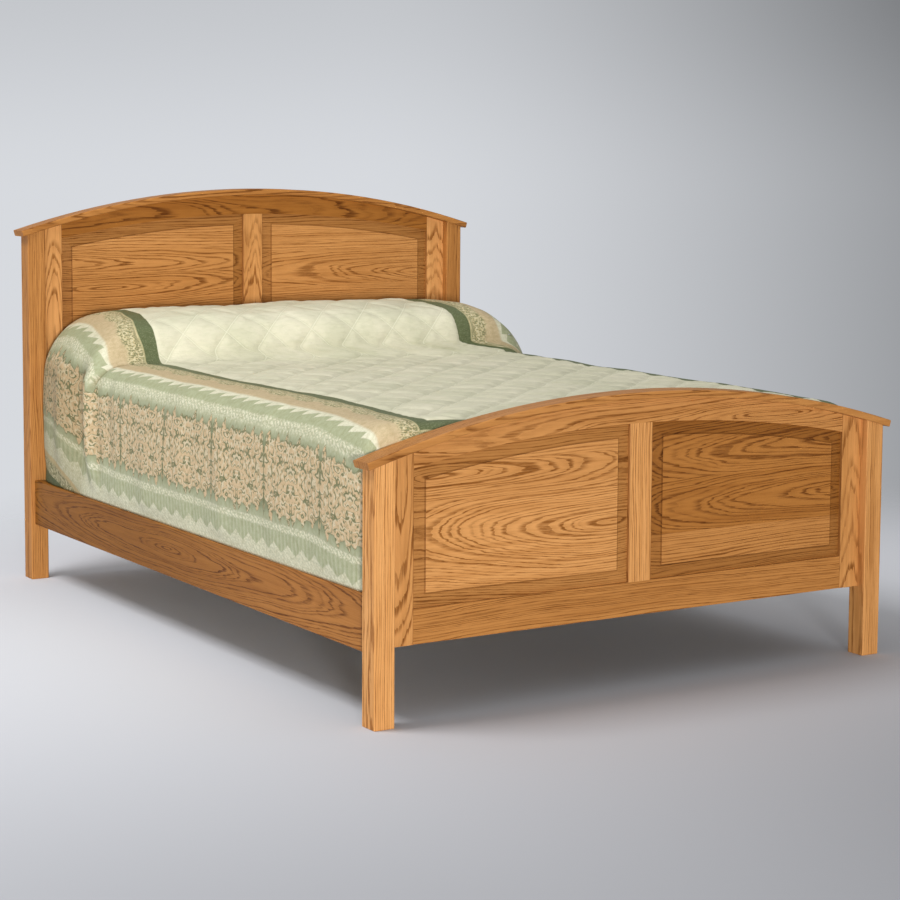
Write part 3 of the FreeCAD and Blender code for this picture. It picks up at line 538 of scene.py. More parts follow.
# ---- hardware -----------------------------------------------------------------------------------
def metal_finish(name, colour, roughness):
    """Zinc-plated steel: faint rolling marks and cloudy plating."""
    finish = Finish(name)
    x, y, z = finish.place()
    rolling = finish.noise((x * 900.0, y * 900.0, z * 60.0), detail=2.0)
    cloud = finish.noise((x, y, z), scale=60.0, detail=2.0)
    tone = finish.mix(cloud, colour, blend_colour(0.35, colour, (0.35, 0.33, 0.28)))
    finish.look(tone, rolling * 0.12 + cloud * 0.1 + roughness, Metallic=1.0)
    finish.relief(rolling, 0.0001)
    return finish.material


def nylon_finish(name):
    """Moulded black nylon with a fine spark-eroded grain."""
    finish = Finish(name)
    x, y, z = finish.place()
    grain = finish.noise((x, y, z), scale=1400.0, detail=1.0)
    scuff = finish.noise((x, y, z), scale=90.0, detail=3.0).ramp(0.5, 0.75)
    colour = finish.mix(scuff * 0.5, (0.022, 0.022, 0.024), (0.07, 0.07, 0.07))
    finish.look(colour, scuff * 0.15 + 0.45)
    finish.relief(grain, 0.0001)
    return finish.material


class PANELBED_OT_hardware(bpy.types.Operator):
    """Give the hooks, plates, screws and glides their metal and nylon"""

    bl_idname = "panelbed.hardware"
    bl_label = "Hardware"

    def execute(self, context):
        plated = metal_finish("plated_steel", (0.62, 0.60, 0.55), 0.28)
        screws = metal_finish("screw_steel", (0.55, 0.49, 0.36), 0.32)
        nylon = nylon_finish("pad_nylon")
        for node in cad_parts:
            if node.endswith("_screws"):
                put_on(node, screws)
            elif "_plate_" in node or node.startswith(("glide_stud", "glide_insert")):
                put_on(node, plated)
            elif node.startswith("glide_pad"):
                put_on(node, nylon)
        return {"FINISHED"}


# ---- soft pieces --------------------------------------------------------------------------------
def grid_faces(rows, columns, first=0):
    """Four-sided faces between the points of a grid, as numbers of its points."""
    at = first + np.arange(rows * columns).reshape(rows, columns)
    return np.stack([at[:-1, :-1], at[:-1, 1:], at[1:, 1:], at[1:, :-1]], axis=-1).reshape(-1, 4)


def piece_mesh(name, points, faces, material, cloth_place=None):
    """A smooth object from points and four-sided faces."""
    mesh = bpy.data.meshes.new(name)
    mesh.from_pydata(np.asarray(points).tolist(), [], np.asarray(faces).tolist())
    mesh.validate()
    mesh.polygons.foreach_set("use_smooth", [True] * len(mesh.polygons))
    if cloth_place is not None:
        layer = mesh.attributes.new("cloth_place", "FLOAT_VECTOR", "POINT")
        layer.data.foreach_set("vector", np.asarray(cloth_place, dtype=np.float32).ravel())
    mesh.materials.append(material)
    piece = bpy.data.objects.new(name, mesh)
    bpy.context.scene.collection.objects.link(piece)
    return piece


def compact(faces, *layers):
    """Faces, and what lies at their points, without the points that no face uses."""
    used = np.unique(faces)
    renumber = np.zeros(used[-1] + 1, dtype=int)
    renumber[used] = np.arange(len(used))
    return (renumber[faces], *(layer[used] for layer in layers))


def travelled(line):
    """Distance from the start of a flat line to each of its points."""
    return np.concatenate([[0.0], np.cumsum(np.hypot(*np.diff(line, axis=0).T))])


def settle(piece, slot, *nodes):
    """Ties a finished soft piece to the bed and hides the nodes that it stands for; its slot is not used."""
    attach(piece, "root")
    if nodes:
        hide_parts(*nodes)


def rounded_block(low, high, radius, step):
    """Points and faces of a block rounded all round, with even small faces."""
    low, high = np.array(low), np.array(high)
    counts = np.maximum(np.round((high - low) / step).astype(int), 2)
    points, faces, known = [], [], {}

    def number(key):
        if key not in known:
            known[key] = len(points)
            points.append(low + (high - low) * np.array(key) / counts)
        return known[key]

    for axis in range(3):
        first, second = [other for other in range(3) if other != axis]
        for end in (0, counts[axis]):
            for i in range(counts[first]):
                for j in range(counts[second]):
                    corners = []
                    for di, dj in ((0, 0), (1, 0), (1, 1), (0, 1)):
                        key = [0, 0, 0]
                        key[axis], key[first], key[second] = int(end), i + di, j + dj
                        corners.append(number(tuple(key)))
                    outward = (end > 0) == (axis != 1)
                    faces.append(corners if outward else corners[::-1])
    points = np.array(points)
    core = np.clip(points, low + radius, high - radius)
    away = points - core
    length = np.linalg.norm(away, axis=1, keepdims=True)
    return core + radius * away / np.maximum(length, 1e-9), np.array(faces)


def tube(path, radius, sides=8):
    """Points and faces of a cord of piping along a closed level path."""
    path = np.asarray(path)
    ahead = np.roll(path, -1, axis=0) - np.roll(path, 1, axis=0)
    ahead /= np.linalg.norm(ahead, axis=1, keepdims=True)
    up = np.array([0.0, 0.0, 1.0])
    out = np.cross(ahead, up)
    turn = np.linspace(0.0, 2.0 * math.pi, sides, endpoint=False)
    ring = np.cos(turn)[None, :, None] * out[:, None, :] + np.sin(turn)[None, :, None] * up
    points = (path[:, None, :] + radius * ring).reshape(-1, 3)
    at = np.arange(len(path) * sides).reshape(len(path), sides)
    after, beside = np.roll(at, -1, axis=0), np.roll(at, -1, axis=1)
    faces = np.stack([at, beside, np.roll(after, -1, axis=1), after], axis=-1).reshape(-1, 4)
    return points, faces


def rounded_loop(low, high, radius, z, step=0.02):
    """Level path round a rectangle with rounded corners."""
    inner_low, inner_high = low + radius, high - radius
    corners = (
        (inner_high[0], inner_high[1], 0.0),
        (inner_low[0], inner_high[1], 90.0),
        (inner_low[0], inner_low[1], 180.0),
        (inner_high[0], inner_low[1], 270.0),
    )
    path = []
    for x, y, start in corners:
        for turn in np.radians(np.linspace(start, start + 90.0, 8)):
            path.append((x + radius * math.cos(turn), y + radius * math.sin(turn)))
    path = np.array(path + path[:1])
    length = travelled(path)
    even = np.linspace(0.0, length[-1], int(length[-1] / step), endpoint=False)
    x, y = (np.interp(even, length, path[:, axis]) for axis in (0, 1))
    return np.column_stack([x, y, even * 0 + z])


def joined(*parts):
    """Several meshes as one list of points and one of faces."""
    points, faces, count = [], [], 0
    for part_points, part_faces in parts:
        points.append(part_points)
        faces.append(np.asarray(part_faces) + count)
        count += len(part_points)
    return np.concatenate(points), np.concatenate(faces)


def ticking_finish(name, base, stripe):
    """Damask mattress cloth: narrow woven stripes, small scrolls and a satin thread."""
    finish = Finish(name)
    x, y, z = finish.place()
    weave = (x * 4200.0).sine() * (y * 4200.0).sine() * 0.5 + 0.5
    bands = ((x + z * 0.35) / 0.034).part().ramp(0.44, 0.5)
    scroll = finish.noise((x, y, z), scale=46.0, detail=2.0).close_to(0.5, 0.035)
    tone = finish.mix(bands * 0.5 + scroll * 0.35, base, stripe)
    finish.look(tone, 0.72 - scroll * 0.18, Sheen_Weight=0.15)
    finish.relief(weave * 0.25 + scroll * 0.6 + bands * 0.15, 0.0004)
    return finish.material


def cotton_finish(name, base):
    """Plain percale: a fine weave and soft creases."""
    finish = Finish(name)
    x, y, z = finish.place()
    weave = (x * 5200.0).sine() * (y * 5200.0).sine() * 0.5 + 0.5
    crease = finish.noise((x * 14.0, y * 22.0, z * 22.0), detail=3.0)
    tone = finish.mix(crease, base, blend_colour(0.12, base, (0.4, 0.38, 0.34)))
    finish.look(tone, crease * 0.1 + 0.75, Sheen_Weight=0.1)
    finish.relief(weave * 0.15 + crease, 0.002)
    return finish.material


class PANELBED_OT_mattress_set(bpy.types.Operator):
    """Build the box spring and the mattress"""

    bl_idname = "panelbed.mattress_set"
    bl_label = "Mattress and box spring"

    def execute(self, context):
        ticking = ticking_finish("ticking", (0.80, 0.78, 0.72), (0.60, 0.58, 0.50))
        sets = (
            ("mattress_body", "mattress", MATTRESS_LOW, MATTRESS_HIGH, 0.05, 0.9, 0.009),
            ("box_spring_body", "box_spring", SPRING_LOW, SPRING_HIGH, 0.024, 1.0, 0.0),
        )
        for name, node, low, high, radius, fill, tuft in sets:
            low, high = np.array(low), np.array(high)
            points, faces = rounded_block(low + 0.0015, high - 0.0015, radius, 0.022)
            if tuft:
                points = self.tufted(points, low, high, radius, tuft)
            piping = 0.0045
            rim = radius * 0.32
            loops = []
            for z in (low[2] + rim, high[2] - rim):
                inset = radius - math.sqrt(radius**2 - (radius - rim) ** 2) + 0.002
                corner = radius - inset + 0.012
                path = rounded_loop(low[:2] + inset, high[:2] - inset, corner, z)
                loops.append(tube(path, piping))
            points, faces = joined((points, faces), *loops)
            body = piece_mesh(name, points, faces, ticking)
            settle(body, "ticking", node)
        return {"FINISHED"}

    def tufted(self, points, low, high, radius, depth):
        """Quilted waves on the top and bottom, and a side that draws in along its middle."""
        points = points.copy()
        x, y, z = points.T
        middle = (low[2] + high[2]) / 2
        half = (high[2] - low[2]) / 2
        inside = np.clip((high[:2] - radius - np.abs(points[:, :2])) / radius, 0.0, 1.0).min(1)
        pattern = 0.5 - 0.5 * np.cos(2 * math.pi * x / 0.19) * np.cos(2 * math.pi * y / 0.19)
        face = np.clip((np.abs(z - middle) / half - 0.9) / 0.1, 0.0, 1.0)
        points[:, 2] -= np.sign(z - middle) * depth * pattern * inside * face
        side = np.clip(1.0 - (np.abs(z - middle) / (half - radius * 0.7)) ** 2, 0.0, 1.0)
        out = points[:, :2] / high[:2]
        reach = np.abs(out).max(1) > 0.97
        strongest = np.abs(out).argmax(1)
        for axis in (0, 1):
            chosen = reach & (strongest == axis)
            points[chosen, axis] -= np.sign(points[chosen, axis]) * 0.004 * side[chosen]
        return points


def pillow_points(low, high):
    """A pillow laid flat: two crowned faces that meet in a seam, pinched at its four corners."""
    rows, columns = 41, 65
    across, along = np.meshgrid(np.linspace(-1, 1, columns), np.linspace(-1, 1, rows))
    half = (high - low) / 2
    middle = (low + high) / 2
    round_x = np.clip(1 - np.abs(across) ** 2.4, 0, 1) ** 0.55
    round_y = np.clip(1 - np.abs(along) ** 2.2, 0, 1) ** 0.55
    body = round_x * round_y
    draw = 1.0 - 0.05 * (1 - across**2) ** 0.8 * along**2
    x = middle[0] + half[0] * across * (1.0 - 0.035 * (1 - along**2) ** 0.8 * across**2) * 0.985
    y = middle[1] + half[1] * along * draw * 0.985
    wrinkle = np.sin(9 * along + 4 * across) * np.abs(across) ** 3
    wrinkle += np.sin(11 * across - 3 * along) * np.abs(along) ** 3
    seam_z = low[2] + 0.40 * (high[2] - low[2])
    upper = seam_z + (high[2] - seam_z - 0.004) * body + 0.003 * wrinkle * body
    lower = seam_z - (seam_z - low[2] - 0.001) * body
    top = np.stack([x, y, upper], -1).reshape(-1, 3)
    bottom = np.stack([x, y, lower], -1).reshape(-1, 3)
    edge = (np.abs(across) == 1) | (np.abs(along) == 1)
    number = np.arange(rows * columns)
    mirror = number + rows * columns
    mirror[edge.ravel()] = number[edge.ravel()]
    faces = grid_faces(rows, columns)
    return np.concatenate([top, bottom]), np.concatenate([faces, mirror[faces][:, ::-1]])


class PANELBED_OT_pillows(bpy.types.Operator):
    """Build the two pillows under the spread"""

    bl_idname = "panelbed.pillows"
    bl_label = "Pillows"

    def execute(self, context):
        cotton = cotton_finish("pillow_cotton", (0.80, 0.80, 0.78))
        for side in ("left", "right"):
            low, high = (np.array(corner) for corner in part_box(f"pillow_{side}"))
            points, faces = pillow_points(low, high)
            faces, points = compact(faces, points)
            pillow = piece_mesh(f"pillow_{side}_body", points, faces, cotton)
            settle(pillow, "pillow_cotton", f"pillow_{side}")
        return {"FINISHED"}


# ---- quilted spread -----------------------------------------------------------------------------
# The spread's line over the bed, in metres: it hangs to the side rails, turns over a shoulder on
# each side, and rises over the pillows.
HEM_INSET = 0.005
SIDE_BULGE = 0.009
FLAT_TOP = float(MATTRESS_HIGH[2]) + 0.025
ROLL_TOP = float(PILLOW_HIGH[2]) + 0.032
NEAR_LIFT = 0.014
FAR_DROP = 0.016
CREASE_Y = float(PILLOW_LOW[1]) - 0.020
FOOT_Y = float(SPREAD_LOW[1])
HEAD_Y = float(SPREAD_HIGH[1])
HEM_Z = float(SPREAD_LOW[2])
GRID_STEP = 0.0062
GRID_COLUMNS = 381
TUCK_Y = CREASE_Y - 0.05
TUCK_Z = float(MATTRESS_HIGH[2]) + 0.035
BAND_SEAMS = (0.0, 0.058, 0.112, 0.25, 0.50)   # seams of the border, from the field's edge outwards
# Place along the bed, share of the roll's height, and drop and draw-in at the foot.
SPREAD_STATIONS = (
    (FOOT_Y, 0.0, 0.046, 0.014),
    (FOOT_Y + 0.010, 0.0, 0.018, 0.006),
    (FOOT_Y + 0.030, 0.0, 0.006, 0.001),
    (FOOT_Y + 0.062, 0.0, 0.0, 0.0),
    (CREASE_Y - 0.012, 0.0, 0.0, 0.0),
    (CREASE_Y, 0.05, 0.0, 0.0),
    (CREASE_Y + 0.020, 0.45, 0.0, 0.0),
    (CREASE_Y + 0.050, 0.76, 0.0, 0.0),
    (CREASE_Y + 0.100, 0.92, 0.0, 0.0),
    (CREASE_Y + 0.180, 1.0, 0.0, 0.0),
    (HEAD_Y - 0.120, 1.0, 0.0, 0.0),
    (HEAD_Y - 0.040, 0.9, 0.0, 0.010),
    (HEAD_Y, 0.7, 0.0, 0.026),
)


def arc_points(start, middle, end, count):
    """Points of the arc through three points, of less than half a circle."""
    (ax, ay), (bx, by), (cx, cy) = start, middle, end
    turn = 2 * (ax * (by - cy) + bx * (cy - ay) + cx * (ay - by))
    a, b, c = ax * ax + ay * ay, bx * bx + by * by, cx * cx + cy * cy
    x = (a * (by - cy) + b * (cy - ay) + c * (ay - by)) / turn
    y = (a * (cx - bx) + b * (ax - cx) + c * (bx - ax)) / turn
    first = math.atan2(ay - y, ax - x)
    sweep = (math.atan2(cy - y, cx - x) - first + math.pi) % (2 * math.pi) - math.pi
    angle = first + sweep * np.linspace(0, 1, count)
    radius = math.hypot(ax - x, ay - y)
    return np.column_stack([x + radius * np.cos(angle), y + radius * np.sin(angle)])


def spread_section(share, drop, drawn_in):
    """The spread's outside across the bed, from the -X hem over the top to the +X hem."""
    middle = FLAT_TOP - drop
    near = middle + NEAR_LIFT
    far = middle - FAR_DROP
    near += share * (ROLL_TOP - 0.017 - near)
    far += share * (ROLL_TOP - 0.018 - far)
    middle += share * (ROLL_TOP - 0.010 - middle)
    width = 0.088 + share * (0.205 - 0.088)
    depth = 0.066 + share * (0.190 - 0.066)
    hem_x = float(RAIL_HIGH[0]) - HEM_INSET - drawn_in
    side_x = hem_x + SIDE_BULGE
    corner = 0.293
    sides = []
    for hand, edge_z in ((-1, near), (1, far)):
        shoulder_x = side_x - 0.003
        shoulder_z = edge_z - depth
        sides.append(
            (
                (hand * hem_x, HEM_Z),
                (hand * side_x, (HEM_Z + shoulder_z) / 2),
                (hand * shoulder_x, shoulder_z),
                (hand * (shoulder_x - corner * width), edge_z - corner * depth),
                (hand * (shoulder_x - width), edge_z),
            )
        )
    a, b = sides
    arcs = (
        arc_points(a[0], a[1], a[2], 60),
        arc_points(a[2], a[3], a[4], 50)[1:],
        arc_points(a[4], (0.0, middle), b[4], 240)[1:],
        arc_points(b[4], b[3], b[2], 50)[1:],
        arc_points(b[2], b[1], b[0], 60)[1:],
    )
    return np.concatenate(arcs)


def smoothed(values, reach):
    """Values along the first axis, averaged with their neighbours and with their ends kept."""
    kernel = np.exp(-0.5 * (np.arange(-3 * reach, 3 * reach + 1) / reach) ** 2)
    kernel /= kernel.sum()
    pad = 3 * reach
    flat = values.reshape(len(values), -1)
    before = 2 * flat[0] - flat[pad:0:-1]
    after = 2 * flat[-1] - flat[-2 : -pad - 2 : -1]
    long = np.concatenate([before, flat, after])
    columns = [np.convolve(long[:, k], kernel, mode="valid") for k in range(flat.shape[1])]
    return np.stack(columns, axis=1).reshape(values.shape)


def running_length(points, axis):
    """Distance along a grid's rows or columns, from their start."""
    steps = np.linalg.norm(np.diff(points, axis=axis), axis=2)
    start = np.zeros_like(np.take(steps, [0], axis=axis))
    return np.concatenate([start, np.cumsum(steps, axis=axis)], axis=axis)


def hills(rng, u, v, size):
    """Smooth random hills of about a given size, between -1 and 1."""
    columns = int(np.ptp(u) / size) + 4
    rows = int(np.ptp(v) / size) + 4
    heights = rng.uniform(-1.0, 1.0, (rows, columns))
    a, b = (u - u.min()) / size + 1, (v - v.min()) / size + 1
    i, j = np.floor(b).astype(int), np.floor(a).astype(int)
    s, t = b - i, a - j
    s, t = s * s * (3 - 2 * s), t * t * (3 - 2 * t)
    i, j = np.clip(i, 0, rows - 2), np.clip(j, 0, columns - 2)
    low = heights[i, j] * (1 - t) + heights[i, j + 1] * t
    high = heights[i + 1, j] * (1 - t) + heights[i + 1, j + 1] * t
    return low * (1 - s) + high * s


def grid_normals(points):
    """Outward direction at each point of the spread's grid."""
    across = np.gradient(points, axis=1)
    along = np.gradient(points, axis=0)
    normal = np.cross(across, along)
    return normal / np.maximum(np.linalg.norm(normal, axis=2, keepdims=True), 1e-12)


FIELD_HALF = 0.6075     # half the quilted field's width, in the cloth
NEAR_EDGE = 0.563       # field edge on the bed, from the middle towards -X
NEAR_DRIFT = 0.025      # how far that edge drifts outwards at the foot
FAR_EDGE = 0.690        # field edge towards +X, on the flat part
FAR_EDGE_ROLL = 0.522   # and over the pillows
FOOT_EDGE_Y = -0.985    # where the field ends at the foot
MEDALLION_MIDDLE = 0.376
MEDALLION_PERIOD = 0.300
# Where each band of the border starts, from the field's edge outwards.
VINE_BAND, CREAM_BAND, SAGE_TEETH, STROKE_BAND, LEAF_BAND = 0.054, 0.160, 0.172, 0.219, 0.240
LIGHT_LINE, BAR_BAND, ZIGZAG_BAND, TAIL_BAND, GOLD_BAND, OUTER_BAND = 0.492, 0.512, 0.568, 0.628, 0.640, 0.700
VINE_TURN = 0.15        # length of one winding of the vine
TOOTH_WIDTH = 0.066
BAR_WIDTH = 0.019
ZIGZAG_WIDTH = 0.072
SPREAD_POTS = ("field", "cream", "sage", "forest", "blush", "gold")


def soft_step(value, low, high):
    share = np.clip((value - low) / (high - low), 0.0, 1.0)
    return share * share * (3.0 - 2.0 * share)


def hump(value, middle, width):
    return np.exp(-(((value - middle) / width) ** 2))


def spread_grid():
    """Grid of the spread's outside, with its distance across from the middle and along from the foot."""
    stations = np.array(SPREAD_STATIONS)
    fine_y = np.linspace(FOOT_Y, HEAD_Y, 1041)
    fine = [np.interp(fine_y, stations[:, 0], stations[:, k]) for k in (1, 2, 3)]
    fine = smoothed(np.column_stack(fine), 4)
    rise = FLAT_TOP + fine[:, 0] * (ROLL_TOP - FLAT_TOP) - fine[:, 1]
    run = travelled(np.column_stack([fine_y, rise]))
    row_y = np.interp(np.linspace(0.0, run[-1], int(run[-1] / GRID_STEP)), run, fine_y)
    grid = []
    for y in row_y:
        line = smoothed(spread_section(*(float(np.interp(y, fine_y, fine[:, k])) for k in range(3))), 5)
        length = travelled(line)
        even = np.linspace(0.0, length[-1], GRID_COLUMNS)
        x, z = (np.interp(even, length, line[:, axis]) for axis in (0, 1))
        grid.append(np.column_stack([x, even * 0 + y, z]))
    points = np.array(grid)
    across = running_length(points, 1)
    across -= np.array([[np.interp(0.0, row[:, 0], length)] for row, length in zip(points, across)])
    return points, across, running_length(points, 0)


def cloth_coordinates(points, across, along):
    """Where each point lies in the cloth: across from the field's middle, and along from its foot edge."""
    y = points[..., 1]
    down = np.abs(across)
    flat_row = len(y) // 2
    totals = np.stack([-across[:, 0], across[:, -1]], 1)
    surplus = totals - totals[flat_row]
    eased = totals[-1] - totals[flat_row]
    on_side = soft_step(down, 0.72, 1.0)[..., None]
    widen = on_side * (soft_step(y, 0.30, 1.0)[..., None] * eased - surplus[:, None])
    near_edge = NEAR_EDGE + NEAR_DRIFT * soft_step(-y, 0.75, 1.0) - 0.030 * soft_step(y, 0.66, 0.86)
    widen[..., 0] += 0.09 * soft_step(y, 0.60, 1.05) * soft_step(down, 0.78, 1.2)
    crease = soft_step(y, CREASE_Y - 0.006, CREASE_Y + 0.010)
    slow = soft_step(y, 0.15, 1.0)
    turn = crease + (slow - crease) * soft_step(across, 0.70, 0.95)
    far_edge = FAR_EDGE + (FAR_EDGE_ROLL - FAR_EDGE) * turn - 0.032 * soft_step(y, 0.66, 0.82)
    inside = (across + near_edge) / (near_edge + far_edge) * 2.0 - 1.0
    cloth = inside * FIELD_HALF
    cloth = np.where(across < -near_edge, -FIELD_HALF + across + near_edge - widen[..., 0], cloth)
    cloth = np.where(across > far_edge, FIELD_HALF + across - far_edge + widen[..., 1], cloth)
    middle = y.shape[1] // 2
    edge_start = np.interp(FOOT_EDGE_Y, y[:, middle], along[:, middle])
    return cloth, along - edge_start


def shaped_spread(settings):
    """Adds quilting, folds and softness to the spread's grid."""
    points, across, along = spread_grid()
    cloth, length = cloth_coordinates(points, across, along)
    x, y, z = (points[..., k] for k in range(3))
    border = np.maximum(np.abs(cloth) - FIELD_HALF, -length)
    rng = np.random.default_rng(41)
    size = settings.diamond
    rise, fall = (cloth + length) / math.sqrt(2) / size, (cloth - length) / math.sqrt(2) / size
    seam = np.minimum(np.abs(rise - np.round(rise)), np.abs(fall - np.round(fall))) * size
    field = np.clip(-border / 0.012, 0.0, 1.0)
    flat = 1.0 - soft_step(y, CREASE_Y - 0.05, CREASE_Y + 0.05)
    puff = settings.puff * (1.0 - np.exp(-((seam / 0.015) ** 2))) * field * (0.55 + 0.45 * flat)
    pucker = hills(rng, cloth * 0.30, length, 0.010) * 0.0012
    pucker += hills(rng, cloth * 0.45, length, 0.024) * 0.0017
    pucker *= field * (0.45 + 0.55 * flat)
    hang = soft_step(z, HEM_Z, HEM_Z + 0.05)
    soft = (hills(rng, cloth, length, 0.24) * 0.0045 + hills(rng, cloth, length, 0.11) * 0.0022) * hang
    lines = sum(hump(border, edge, 0.004) for edge in BAND_SEAMS) * -0.0012
    side = soft_step(np.abs(x), 0.70, 0.76)
    ripple = hills(rng, y, z * 0.2, 0.15) * 0.0075 + hills(rng, y, z * 0.3, 0.06) * 0.003
    fold, shade = near_fold(x, y, z)
    fold = fold * hang + 0.006 * hump(border, 0.085, 0.05) * flat * (x < 0)
    height = (puff + pucker + soft + lines + ripple * side * hang) * soft_step(z, HEM_Z, HEM_Z + 0.02) + fold
    points = points + grid_normals(points) * (height - 0.003)[..., None]
    # The third value is the painted shade of the folds.
    return points, np.stack([cloth, length, shade], -1)


def near_fold(x, y, z):
    """The tuck where the pillows end: a crease along the mattress edge and a pleat that hangs from it, with
    painted shade in the crease, the pleat's valley and cleft, and on the near side of the roll.
    """
    near = soft_step(-x, 0.60, 0.72)
    low = TUCK_Z - z
    line = hump(y, TUCK_Y + 0.018 + 0.012 * soft_step(low, -0.01, 0.06), 0.0075)
    line *= soft_step(-x, 0.56, 0.64) * soft_step(z, TUCK_Z - 0.095, TUCK_Z - 0.045)
    reach = soft_step(low, -0.02, 0.05) * soft_step(z, HEM_Z, HEM_Z + 0.16)
    lean = 0.05 * low
    crest = hump(y, TUCK_Y + 0.062 - lean, 0.038)
    valley = hump(y, TUCK_Y + 0.155 - lean, 0.062)
    cleft = hump(y, TUCK_Y + 0.012 - lean, 0.024)
    second = 0.012 * hump(y, TUCK_Y + 0.28 - lean, 0.05) - 0.009 * hump(y, TUCK_Y - 0.06 - lean, 0.045)
    depth = -0.012 * line + ((0.023 * crest - 0.020 * valley - 0.006 * cleft + second) * reach) * near
    # Painted shade on the near side of the roll over the pillows.
    behind = 0.50 * soft_step(y, TUCK_Y + 0.09, TUCK_Y + 0.17) * soft_step(low, -0.03, 0.05)
    behind = np.maximum(behind, 0.18 * soft_step(y, TUCK_Y + 0.05, TUCK_Y + 0.12))
    shade = np.maximum(0.55 * valley * reach, behind) * near + 0.22 * cleft * reach * near
    shade = np.maximum(0.85 * line, shade)
    return depth, shade


def foot_flap(points, place):
    """The part that hangs down at the foot, joined to the first row of the spread's grid."""
    row = points[0]
    reach = int(np.argmax(row[:, 2] > row[:, 2].max() - 0.085))
    far_reach = len(row) - 1 - int(np.argmax(row[::-1, 2] > row[:, 2].max() - 0.085))
    left, right = row[reach::-1], row[far_reach:]
    steps = len(left) - 1
    count = far_reach - reach + 1
    flap, cloth = [], []
    for step in range(1, steps + 1):
        other = min(int(round(step * (len(right) - 1) / steps)), len(right) - 1)
        share = np.linspace(0.0, 1.0, count)[:, None]
        ends = left[step] * (1 - share) + right[other] * share
        fall = (row[reach, 2] - left[step][2]) / (row[reach, 2] - HEM_Z)
        top = row[reach : far_reach + 1, 2]
        ends[:, 2] = top + (HEM_Z - top) * fall
        ends[:, 1] = row[reach, 1] + 0.0006 * math.sin(step * 0.3)
        flap.append(ends)
        place_row = place[0, reach : far_reach + 1].copy()
        place_row[:, 1] -= top - ends[:, 2]
        cloth.append(place_row)
    return np.array(flap), np.array(cloth), reach, far_reach


